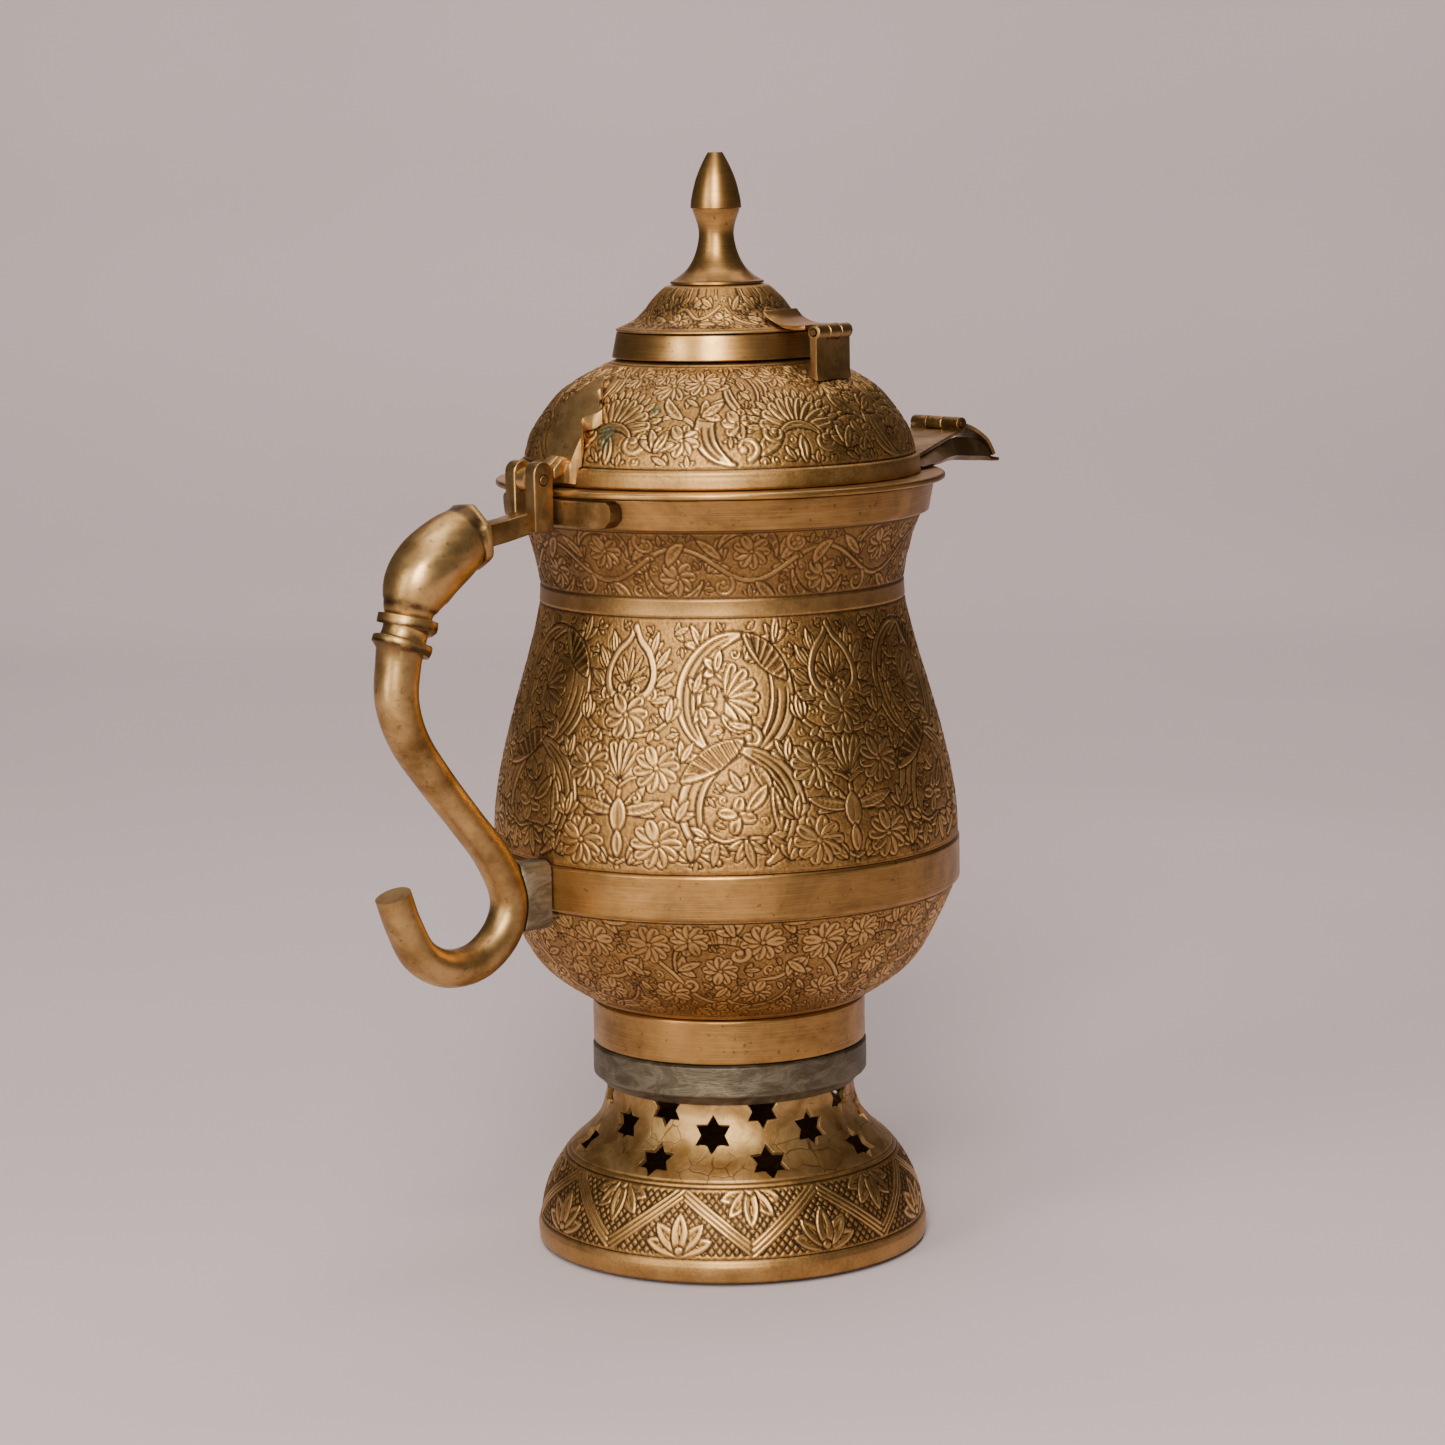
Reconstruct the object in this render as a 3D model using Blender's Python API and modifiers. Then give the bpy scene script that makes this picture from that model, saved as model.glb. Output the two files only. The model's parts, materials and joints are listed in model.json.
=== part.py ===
"""Lidded brass ewer (kalash): engraved pear body on a pierced foot, hinged dome lid with a
beak spout and flap, small hinged cap with an acorn finial, and a cast S-shaped handle.

Frame: +Z up, +X towards the spout, the handle at -X. The origin is on the ground, at the
centre of the outer box of the whole object; the turned axis of the pot stands at POT_X.
"""
import math

import bmesh
import bpy
from mathutils import Matrix, Vector

MM = 0.001

# ---- driving dimensions, millimetres -------------------------------------------------
POT_X = 7.60             # turned axis, from the centre of the overall box
GAP = 0.3                # clearance kept between neighbouring pieces
SHEET = 1.3              # body sheet
THIN = 1.1               # lid and cap sheet
SEG = 32                 # steps around the large turned pieces
SEG_SMALL = 16

FOOT_R, FOOT_LAND = 50.5, 2.9
BASE_NECK_R, BASE_TOP = 32.2, 63.4
SOLDER_R, SOLDER_BOTTOM, SOLDER_TOP = 35.8, 43.9, 52.0
COLLAR_R = 35.4
BOWL_FLOOR = 64.0
BELLY_R, BELLY_BOTTOM, BELLY_TOP = 60.35, 93.9, 105.4
WAIST_R, WAIST_Z = 46.65, 170.0
NECK_R, RIM_BOTTOM, RIM_TOP = 51.5, 188.9, 196.7
RIM_R = 54.6
FLANGE_R, FLANGE_BOTTOM, FLANGE_TOP = 57.4, 197.0, 198.6
DOME_R, DOME_BOTTOM = 51.2, 198.9
MOUTH_R = 24.0           # turned-up mouth of the dome, under the cap
CAP_R, CAP_BOTTOM, CAP_BAND_TOP = 27.1, 228.7, 235.1
FINIAL_BOTTOM, TOTAL_HEIGHT = 247.0, 279.8

STARS, STAR_ROWS = 8, ((39.2, 4.5, 0.0), (33.7, 5.0, 0.5), (27.5, 5.2, 0.0))
STAR_PHASE = 19.5        # degrees, from -Y towards +X

LID_HINGE = (-61.3, 201.4)          # x, z of the axis, which runs along Y
FLAP_HINGE = (76.4, 207.0)
CAP_HINGE_AZ, CAP_HINGE_R, CAP_HINGE_Z = -77.0, 35.0, 235.4
EAR_W, EAR_T, KNUCKLE = 5.8, 4.0, 2.9
BARREL_R, BARREL_PIN = 1.85, 0.8

# ---- scene ---------------------------------------------------------------------------
for ob in list(bpy.data.objects):
    bpy.data.objects.remove(ob, do_unlink=True)
for block in (bpy.data.meshes, bpy.data.curves, bpy.data.materials, bpy.data.collections):
    for item in list(block):
        block.remove(item)

parts = bpy.data.collections.new("brass_kalash_pot")
cutters = bpy.data.collections.new("cutters")
bpy.context.scene.collection.children.link(parts)
bpy.context.scene.collection.children.link(cutters)


def empty(name, x, y, z, parent=None):
    ob = bpy.data.objects.new(name, None)
    ob.location = Vector((x, y, z)) * MM
    ob.empty_display_size = 0.02
    parts.objects.link(ob)
    if parent is not None:
        ob.parent = parent
    return ob


root = empty("pot_axis", POT_X, 0, 0)
lid_axis = empty("lid_axis", LID_HINGE[0], 0, LID_HINGE[1], root)
cap_dir = Vector((math.cos(math.radians(CAP_HINGE_AZ)), math.sin(math.radians(CAP_HINGE_AZ)), 0))
cap_axis = empty("cap_axis", cap_dir.x * CAP_HINGE_R - LID_HINGE[0], cap_dir.y * CAP_HINGE_R,
                 CAP_HINGE_Z - LID_HINGE[1], lid_axis)
flap_axis = empty("flap_axis", FLAP_HINGE[0] - LID_HINGE[0], 0, FLAP_HINGE[1] - LID_HINGE[1],
                  lid_axis)
OFFSET = {root: Vector((0, 0, 0)), lid_axis: Vector((LID_HINGE[0], 0, LID_HINGE[1])),
          cap_axis: Vector((cap_dir.x * CAP_HINGE_R, cap_dir.y * CAP_HINGE_R, CAP_HINGE_Z)),
          flap_axis: Vector((FLAP_HINGE[0], 0, FLAP_HINGE[1]))}


def material(name, colour, roughness, metallic=1.0):
    mat = bpy.data.materials.new(name)
    mat.use_nodes = True
    shader = mat.node_tree.nodes["Principled BSDF"]
    shader.inputs["Base Color"].default_value = (*colour, 1.0)
    shader.inputs["Roughness"].default_value = roughness
    shader.inputs["Metallic"].default_value = metallic
    mat.diffuse_color = (*colour, 1.0)
    return mat


ENGRAVED = (0.50, 0.27, 0.10)
PLAIN = (0.58, 0.31, 0.10)
CAST = (0.56, 0.28, 0.09)
DARK = (0.24, 0.14, 0.06)
SOLDER = (0.33, 0.31, 0.24)


# ---- building tools ------------------------------------------------------------------
def finish(ob, group, colour, roughness, smooth=True):
    """Give a part its material and its place under the body it belongs to."""
    parts.objects.link(ob)
    ob.data.materials.append(material(ob.name, colour, roughness))
    ob.parent = group
    ob.location = -OFFSET[group] * MM
    if smooth and ob.type == "MESH":
        ob.data.shade_smooth()
        ob.data.set_sharp_from_angle(angle=math.radians(35))
    return ob


def make_cutter(ob):
    cutters.objects.link(ob)
    ob.parent = root
    ob.hide_render = True
    ob.display_type = "WIRE"
    return ob


def cut(ob, cutter, operation="DIFFERENCE"):
    mod = ob.modifiers.new(cutter.name, "BOOLEAN")
    mod.operation = operation
    mod.object = cutter
    mod.solver = "EXACT"
    return ob


def turned(name, line, steps=SEG, closed=False, wall=0.0):
    """Turn a line of (radius, height) points, outer side first and running downwards."""
    mesh = bpy.data.meshes.new(name)
    verts = [(r * MM, 0.0, z * MM) for r, z in line]
    edges = [(i, i + 1) for i in range(len(line) - 1)]
    if closed:
        edges.append((len(line) - 1, 0))
    mesh.from_pydata(verts, edges, [])
    ob = bpy.data.objects.new(name, mesh)
    screw = ob.modifiers.new("Turn", "SCREW")
    screw.axis = "Z"
    screw.angle = math.tau
    screw.steps = screw.render_steps = steps
    screw.use_merge_vertices = True
    screw.merge_threshold = 0.00001
    screw.use_smooth_shade = True
    if wall:
        shell = ob.modifiers.new("Wall", "SOLIDIFY")
        shell.thickness = wall * MM
        shell.offset = -1.0
        shell.use_even_offset = True
    return ob


def spline(points, per_span):
    """Smooth curve through points (centripetal-free Catmull-Rom), per_span steps a span."""
    out = []
    pts = [points[0]] + list(points) + [points[-1]]
    for i in range(1, len(pts) - 2):
        for k in range(per_span):
            t = k / per_span
            row = []
            for a, b, c, d in zip(pts[i - 1], pts[i], pts[i + 1], pts[i + 2]):
                row.append(0.5 * (2 * b + (c - a) * t + (2 * a - 5 * b + 4 * c - d) * t * t
                                  + (3 * b - a - 3 * c + d) * t ** 3))
            out.append(tuple(row))
    out.append(tuple(points[-1]))
    return out


def inside(line, wall):
    """The same line moved inwards by the wall thickness."""
    out = []
    for i, (r, z) in enumerate(line):
        a, b = line[max(i - 1, 0)], line[min(i + 1, len(line) - 1)]
        d = Vector((b[0] - a[0], b[1] - a[1])).normalized()
        out.append((r + d.y * wall, z - d.x * wall))
    return out


def from_bmesh(name, bm):
    mesh = bpy.data.meshes.new(name)
    bm.to_mesh(mesh)
    bm.free()
    return bpy.data.objects.new(name, mesh)


def box_mesh(bm, x0, x1, y0, y1, z0, z1):
    made = bmesh.ops.create_cube(bm, size=1.0)
    bmesh.ops.scale(bm, vec=Vector((x1 - x0, y1 - y0, z1 - z0)) * MM, verts=made["verts"])
    bmesh.ops.translate(bm, vec=Vector((x0 + x1, y0 + y1, z0 + z1)) * 0.5 * MM,
                        verts=made["verts"])
    return made["verts"]


def box(name, *limits):
    bm = bmesh.new()
    box_mesh(bm, *limits)
    return from_bmesh(name, bm)


def rod(name, centre, half, radius, direction=(0, 1, 0), segments=20):
    """Round bar centred on a point, lying along a direction."""
    bm = bmesh.new()
    turn = Vector((0, 0, 1)).rotation_difference(Vector(direction)).to_matrix().to_4x4()
    bmesh.ops.create_cone(bm, cap_ends=True, segments=segments, radius1=radius * MM,
                          radius2=radius * MM, depth=2 * half * MM,
                          matrix=Matrix.Translation(Vector(centre) * MM) @ turn)
    return from_bmesh(name, bm)


def plate(name, outline, half, plane="XZ", bevel=0.0):
    """Flat outline with an even thickness: a filled 2D curve, made a mesh."""
    curve = bpy.data.curves.new(name, "CURVE")
    curve.dimensions = "2D"
    curve.fill_mode = "BOTH"
    curve.extrude = half * MM
    line = curve.splines.new("POLY")
    line.points.add(len(outline) - 1)
    for point, (u, v) in zip(line.points, outline):
        point.co = (u * MM, v * MM, 0.0, 1.0)
    line.use_cyclic_u = True
    source = bpy.data.objects.new(name, curve)
    cutters.objects.link(source)
    bpy.context.view_layer.update()
    depsgraph = bpy.context.evaluated_depsgraph_get()
    mesh = bpy.data.meshes.new_from_object(source.evaluated_get(depsgraph))
    bpy.data.objects.remove(source, do_unlink=True)
    bpy.data.curves.remove(curve)
    bm = bmesh.new()
    bm.from_mesh(mesh)
    bpy.data.meshes.remove(mesh)
    bmesh.ops.remove_doubles(bm, verts=bm.verts, dist=0.000001)
    if plane == "XZ":
        bmesh.ops.rotate(bm, cent=(0, 0, 0), matrix=Matrix.Rotation(math.pi / 2, 3, "X"),
                         verts=bm.verts)
    bmesh.ops.recalc_face_normals(bm, faces=bm.faces)
    ob = from_bmesh(name, bm)
    if bevel:
        edge = ob.modifiers.new("Edge", "BEVEL")
        edge.width = bevel * MM
        edge.segments = 2
        edge.limit_method = "ANGLE"
    return ob


def arc(cx, cz, radius, start, end, steps):
    """Points of an arc, angles in degrees from +X towards +Z."""
    return [(cx + radius * math.cos(math.radians(start + (end - start) * k / steps)),
             cz + radius * math.sin(math.radians(start + (end - start) * k / steps)))
            for k in range(steps + 1)]


def loft(name, rings):
    """Skin between closed rings of equal point count, capped at both ends."""
    bm = bmesh.new()
    rows = [[bm.verts.new(Vector(p) * MM) for p in ring] for ring in rings]
    for a, b in zip(rows, rows[1:]):
        for i in range(len(a)):
            j = (i + 1) % len(a)
            bm.faces.new((a[i], a[j], b[j], b[i]))
    bm.faces.new(rows[0])
    bm.faces.new(list(reversed(rows[-1])))
    bmesh.ops.recalc_face_normals(bm, faces=bm.faces)
    bmesh.ops.triangulate(bm, faces=bm.faces, ngon_method="EAR_CLIP")
    return from_bmesh(name, bm)


# ---- foot ----------------------------------------------------------------------------
# The skirt of the foot flares from a narrow neck to a plain rim; its upper part is pierced.
skirt = [(BASE_NECK_R, 40.2), (32.5, 37.3), (34.1, 32.4), (37.0, 28.6), (41.3, 24.7),
         (44.1, 21.5), (47.3, 16.2), (49.2, 11.0), (50.2, 6.1), (50.8, 3.8)]
foot_outer = [(BASE_NECK_R, BASE_TOP)] + skirt + [(FOOT_R, 0.0)]
foot_inner = inside([(BASE_NECK_R, BASE_TOP)] + skirt, SHEET)[:-1]
base = turned("pierced_base", foot_outer + [(FOOT_R - FOOT_LAND, 0.0), (FOOT_R - FOOT_LAND, 4.4)]
              + list(reversed(foot_inner)), closed=True)


def star_cutter(name):
    """All the six-pointed holes of the foot, each square to the skirt at its place."""
    bm = bmesh.new()
    heights = [z for _, z in skirt]
    for z, size, shift in STAR_ROWS:
        for i in range(len(heights) - 1):
            if heights[i] >= z >= heights[i + 1]:
                (r0, z0), (r1, z1) = skirt[i], skirt[i + 1]
                r = r0 + (r1 - r0) * (z - z0) / (z1 - z0)
        below = [p for p in skirt if p[1] < z - 2.5][0]
        above = [p for p in skirt if p[1] > z + 0.8][-1] if z < 39 else (BASE_NECK_R, 44.0)
        slope = math.atan2(below[0] - above[0], above[1] - below[1])
        for k in range(STARS):
            turn = math.radians(STAR_PHASE + (k + shift) * 360.0 / STARS)
            made = bmesh.ops.create_circle(bm, cap_ends=True, segments=12, radius=size * MM)
            verts = made["verts"]
            for i, v in enumerate(verts):
                if i % 2:
                    v.co *= 0.6
            face = verts[0].link_faces[0]
            body = bmesh.ops.extrude_face_region(bm, geom=[face])
            new = [g for g in body["geom"] if isinstance(g, bmesh.types.BMVert)]
            bmesh.ops.translate(bm, vec=(0, 0, 6 * MM), verts=new)
            bmesh.ops.translate(bm, vec=(0, 0, -3 * MM), verts=verts + new)
            place = (Matrix.Rotation(turn, 4, "Z") @ Matrix.Translation((0, -r * MM, z * MM))
                     @ Matrix.Rotation(math.pi / 2 - slope, 4, "X"))
            bmesh.ops.transform(bm, matrix=place, verts=verts + new)
    bmesh.ops.recalc_face_normals(bm, faces=bm.faces)
    return make_cutter(from_bmesh(name, bm))


cut(base, star_cutter("star_holes"))
finish(base, root, ENGRAVED, 0.42)

ring = [(34.3, SOLDER_TOP), (SOLDER_R, SOLDER_TOP - 0.6), (SOLDER_R, SOLDER_BOTTOM),
        (34.3, 42.75), (33.0, 41.2), (BASE_NECK_R + GAP, 41.2), (BASE_NECK_R + GAP, SOLDER_TOP)]
finish(turned("solder_ring", ring, closed=True), root, SOLDER, 0.6)

collar = [(34.9, 63.7), (COLLAR_R, 63.2), (COLLAR_R, SOLDER_TOP + GAP),
          (BASE_NECK_R + GAP, SOLDER_TOP + GAP), (BASE_NECK_R + GAP, 63.7)]
finish(turned("foot_collar", collar, closed=True), root, PLAIN, 0.35)

# ---- body ----------------------------------------------------------------------------
# Bowl: flat floor on the foot, round shoulder, and an upright lip inside the belly band.
lip = BELLY_R - 1.75
bowl = [(lip, 99.3), (lip, BELLY_BOTTOM + 0.1), (59.2, BELLY_BOTTOM - 0.4), (57.0, 88.3),
        (54.4, 83.0), (51.2, 77.0), (47.5, 72.3), (42.4, 68.2), (37.9, 65.4),
        (35.4, BOWL_FLOOR), (0.0, BOWL_FLOOR)]
finish(turned("lower_bowl", bowl, wall=SHEET), root, ENGRAVED, 0.42)

band = [(BELLY_R - 0.35, BELLY_TOP), (BELLY_R, BELLY_TOP - 0.6), (BELLY_R, BELLY_BOTTOM + 0.6),
        (BELLY_R - 0.35, BELLY_BOTTOM), (lip + GAP, BELLY_BOTTOM), (lip + GAP, BELLY_TOP)]
finish(turned("belly_band", band, closed=True), root, PLAIN, 0.33)

body = [(NECK_R, RIM_TOP - 0.3), (NECK_R, 188.6), (49.4, 184.2), (47.0, 174.5),
        (WAIST_R, WAIST_Z), (47.5, 163.4), (50.0, 153.5), (53.1, 143.0), (55.9, 132.8),
        (58.3, 122.4), (59.6, 113.5), (60.0, 105.75), (lip, 105.4), (lip, 99.7)]
finish(turned("upper_body", body, wall=SHEET), root, ENGRAVED, 0.42)

rim = [(RIM_R, RIM_TOP), (53.2, RIM_BOTTOM + 0.3), (52.6, RIM_BOTTOM), (NECK_R + GAP, RIM_BOTTOM),
       (NECK_R + GAP, RIM_TOP)]
finish(turned("rim_collar", rim, closed=True), root, PLAIN, 0.33)

# ---- lid -----------------------------------------------------------------------------
flange = [(56.9, FLANGE_TOP), (FLANGE_R, FLANGE_TOP - 0.4), (FLANGE_R, FLANGE_BOTTOM + 0.3),
          (FLANGE_R - 0.3, FLANGE_BOTTOM), (48.0, FLANGE_BOTTOM), (48.0, FLANGE_TOP)]
finish(turned("lid_flange", flange, closed=True), lid_axis, PLAIN, 0.33)

locating = [(49.2, FLANGE_BOTTOM - GAP), (49.2, 191.4), (48.2, 191.4), (48.2, FLANGE_BOTTOM - GAP)]
finish(turned("lid_skirt", locating, closed=True), lid_axis, DARK, 0.55)

dome_line = [(27.9, 227.5), (33.0, 225.0), (37.6, 222.4), (41.1, 219.7), (44.1, 216.2),
             (46.8, 212.4), (48.5, 209.3), (49.8, 205.0), (50.0, 203.9)]
dome = turned("lid_dome", [(MOUTH_R, 230.4), (MOUTH_R, 228.5), (25.0, 228.2)] + dome_line
              + [(DOME_R, DOME_BOTTOM)], wall=THIN)
# Slot through the plain band of the dome, into the root of the spout.
slot = make_cutter(box("spout_slot", 40, 56, -22, 22, 199.75, 200.95))
cut(dome, slot)
finish(dome, lid_axis, ENGRAVED, 0.42)

# ---- main hinge: bracket, leaf strap and pin ------------------------------------------
hx, hz = LID_HINGE
ear_top = arc(hx, hz + 1.6, EAR_W / 2, 0, 180, 8)
ear_outline = [(hx - EAR_W / 2, 188.6), (hx + EAR_W / 2, 188.6)] + ear_top
# T-shaped saddle soldered round the rim collar, with the arm to the handle and two ears.
saddle = turned("handle_bracket", [(57.5, 196.1), (57.1, 190.0), (56.6, 189.5), (53.6, 189.5),
                                   (54.85, 196.4), (57.2, 196.4)], closed=True)
wedge_half = 20.5
wings = [(-30.0, 0.0)] + [(-75 * math.cos(math.radians(a)), 75 * math.sin(math.radians(a)))
                          for a in (-wedge_half, 0, wedge_half)]
wing_cutter = plate("wing_sector", [(x * 1.0, y) for x, y in wings], 20, plane="XY")
wing_cutter.location.z = 193 * MM
cut(saddle, make_cutter(wing_cutter), "INTERSECT")
arm_outline = [(-57.0, 193.9), (-60.0, 194.1), (-64.2, 193.4), (-70.0, 192.2), (-77.6, 191.3),
               (-76.9, 185.6), (-70.0, 186.7), (-64.0, 187.9), (-60.0, 188.9), (-55.0, 190.0)]
arm = make_cutter(plate("bracket_arm", arm_outline, 3.0, bevel=0.5))
cut(saddle, arm, "UNION")
for side in (-1, 1):
    ear = plate("bracket_ear", ear_outline, EAR_T / 2)
    ear.location.y = side * (2.0 + EAR_T / 2) * MM
    cut(saddle, make_cutter(ear), "UNION")
cut(saddle, make_cutter(rod("ear_bore", (hx, 0, hz), 9, 1.2 + GAP, segments=16)))
finish(saddle, root, CAST, 0.4)
finish(rod("lid_hinge_pin", (hx, 0, hz), 6.3, 1.2, segments=16), root, DARK, 0.45)

# Lobed strap formed over the dome: a turned skin cut to the leaf outline.
strap_in = inside([(30.0, 226.5)] + dome_line[1:] + [(51.15, 199.7)], -0.35)
strap_out = inside([(30.0, 226.5)] + dome_line[1:] + [(51.15, 199.7)], -1.8)
leaf = turned("leaf_strap", strap_out + list(reversed(strap_in)), closed=True)
half_leaf = [(-62.0, 3.4), (-53.5, 3.4), (-51.0, 5.6), (-49.8, 6.6), (-48.6, 6.2), (-47.6, 3.8),
             (-47.0, 3.7), (-46.3, 6.6), (-45.0, 8.5), (-43.2, 7.8), (-41.4, 3.0), (-40.2, 2.4),
             (-38.6, 2.2), (-37.2, 0.0)]
leaf_outline = half_leaf + [(x, -y) for x, y in reversed(half_leaf[:-1])]
leaf_cutter = plate("leaf_outline", leaf_outline, 30, plane="XY")
leaf_cutter.location.z = 215 * MM
cut(leaf, make_cutter(leaf_cutter), "INTERSECT")
neck_line = [(hx, hz + 2.2), (-56.5, 203.6), (-52.4, 206.2), (-51.0, 206.0), (-51.7, 203.9),
             (-52.0, 202.3), (-55.0, 201.0), (hx, hz - 1.6)]
cut(leaf, make_cutter(plate("strap_neck", neck_line, 1.65)), "UNION")
spread = [(-56.2, 203.8), (-52.4, 206.2), (-51.0, 206.0), (-51.7, 203.9), (-52.0, 202.3),
          (-56.2, 200.8)]
cut(leaf, make_cutter(plate("strap_spread", spread, 3.3)), "UNION")
cut(leaf, make_cutter(rod("strap_knuckle", (hx, 0, hz), 1.7, KNUCKLE, segments=20)), "UNION")
cut(leaf, make_cutter(rod("strap_bore", (hx, 0, hz), 4, 1.2 + GAP, segments=16)))
finish(leaf, lid_axis, PLAIN, 0.36)

# ---- handle --------------------------------------------------------------------------
# Centre line (x, z) and half thickness of the cast handle, calyx disc to hooked end.
grip_keys = [(-78.3, 189.0, 8.8), (-81.0, 188.6, 8.8), (-81.5, 188.5, 7.8), (-85.7, 186.4, 8.6),
             (-91.5, 182.5, 9.0), (-95.7, 178.0, 8.5), (-98.0, 173.6, 6.9), (-98.7, 171.0, 5.9)]
ring_keys = [(-98.8, 170.7, 7.5), (-99.3, 168.3, 7.5), (-99.5, 167.9, 5.9), (-100.4, 165.6, 5.9),
             (-100.5, 165.3, 7.4), (-101.2, 163.3, 7.4), (-101.4, 162.9, 5.8)]
shaft_keys = [(-101.9, 160.2, 5.6), (-102.7, 151.0, 5.4), (-99.6, 141.0, 5.0),
              (-92.2, 130.3, 4.6), (-83.4, 119.3, 4.4), (-75.2, 108.8, 4.6), (-70.6, 98.3, 4.8),
              (-73.0, 89.9, 4.9), (-80.6, 83.9, 4.9), (-90.1, 83.2, 4.8), (-98.0, 87.5, 4.7),
              (-102.5, 95.4, 4.6), (-105.5, 103.5, 4.55)]


def grip_curve(name, grow=0.0, sides=4):
    path = grip_keys[:3] + spline(grip_keys[2:], 2)[1:] + ring_keys + spline(shaft_keys, 3)
    curve = bpy.data.curves.new(name, "CURVE")
    curve.dimensions = "3D"
    curve.bevel_depth = MM
    curve.bevel_resolution = sides
    curve.use_fill_caps = True
    line = curve.splines.new("POLY")
    line.points.add(len(path) - 1)
    for point, (x, z, r) in zip(line.points, path):
        point.co = (x * MM, 0.0, z * MM, 1.0)
        point.radius = r + grow
    return bpy.data.objects.new(name, curve)


finish(grip_curve("handle_grip"), root, CAST, 0.38)


def curve_to_mesh(source):
    cutters.objects.link(source)
    bpy.context.view_layer.update()
    depsgraph = bpy.context.evaluated_depsgraph_get()
    mesh = bpy.data.meshes.new_from_object(source.evaluated_get(depsgraph))
    name = source.name
    bpy.data.objects.remove(source, do_unlink=True)
    bm = bmesh.new()
    bm.from_mesh(mesh)
    bpy.data.meshes.remove(mesh)
    bmesh.ops.remove_doubles(bm, verts=bm.verts, dist=0.000001)
    return from_bmesh(name, bm)


# Block of solder and brass between the belly band and the inner bend of the handle.
pad = box("handle_pad", -70.5, -58.0, -4.35, 4.35, 89.4, 106.6)
edge = pad.modifiers.new("Edge", "BEVEL")
edge.width = 1.2 * MM
edge.segments = 2
cut(pad, make_cutter(curve_to_mesh(grip_curve("grip_clearance", GAP + 0.02))))
cut(pad, make_cutter(turned("belly_clearance", [(0, 115), (BELLY_R + GAP, 115),
                                                (BELLY_R + GAP, 80), (0, 80)])))
finish(pad, root, SOLDER, 0.55)

# ---- spout: open channel, roof with two knuckles, pin and flap --------------------------
fx, fz = FLAP_HINGE
# station x, half width and height of the top edge, half width and height of the floor
stations = [(40.0, 29.4, 200.6, 32.9, 198.95), (52.0, 22.6, 201.8, 27.0, 198.95),
            (62.0, 16.2, 202.7, 20.0, 198.7), (69.0, 12.0, 203.4, 14.6, 198.2),
            (75.0, 8.9, 203.7, 10.7, 197.6), (80.0, 7.8, 203.3, 9.2, 197.1),
            (86.0, 6.2, 201.7, 6.8, 196.6), (89.4, 5.3, 199.9, 5.8, 196.3),
            (91.2, 4.9, 197.4, 5.1, 196.1), (94.6, 4.5, 196.8, 4.4, 195.9)]


def channel_ring(x, top_w, top_z, low_w, low_z):
    """Section of the channel: outer side, round the floor, and back along the inside.
    The side walls lean out towards the root, so they are wider there when cut across."""
    lean = (low_w - top_w) / (top_z - low_z)
    wall = 0.9 * math.hypot(1.0, lean)
    corner = min(1.3, 0.3 * (top_z - low_z))
    floor = low_z + 0.8
    outer = [(top_w, top_z), (low_w, low_z + corner), (low_w - corner, low_z)]
    inner = [(top_w - wall, top_z), (low_w - wall - 0.1, floor + 0.4 * corner),
             (low_w - wall - 0.6 * corner, floor)]
    left = [(x, -w, z) for w, z in outer]
    right = [(x, w, z) for w, z in reversed(outer)]
    back = [(x, w, z) for w, z in inner] + [(x, -w, z) for w, z in reversed(inner)]
    return left + right + back


spout = loft("spout_shell", [channel_ring(*s) for s in stations])
dome_clear = [(0, 215), (DOME_R - 2.6 + GAP + 0.15, 215), (DOME_R + GAP + 0.15, 198.0),
              (DOME_R + GAP + 0.15, 190), (0, 190)]
clearance = make_cutter(turned("dome_clearance", dome_clear))
cut(spout, clearance)
finish(spout, lid_axis, CAST, 0.42)

roof_low, roof_high = (40.0, 200.95), (75.1, 204.55)
roof_t = 0.9
roof = loft("spout_roof", [[(x, -w, z), (x, w, z), (x, w, z + roof_t), (x, -w, z + roof_t)]
                           for x, w, z in ((40.0, 29.9, 200.95), (57.5, 19.3, 202.75),
                                           (75.1, 9.1, 204.55))])
cut(roof, clearance)
for side in (-1, 1):
    cut(roof, make_cutter(rod("roof_knuckle", (fx, side * 6.1, fz), 3.0, BARREL_R, segments=16)),
        "UNION")
    cut(roof, make_cutter(box("roof_tongue", fx - 1.7, fx + 0.3, side * 6.1 - 3.0,
                              side * 6.1 + 3.0, 204.7, 206.3)), "UNION")
cut(roof, make_cutter(rod("flap_bore", (fx, 0, fz), 12, BARREL_PIN + GAP, segments=12)))
cut(roof, make_cutter(rod("flap_knuckle_clearance", (fx, 0, fz), 3.0, BARREL_R + 0.4,
                          segments=16)))
finish(roof, lid_axis, CAST, 0.4)
finish(rod("spout_hinge_pin", (fx, 0, fz), 9.3, BARREL_PIN, segments=12), lid_axis, DARK, 0.45)

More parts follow.
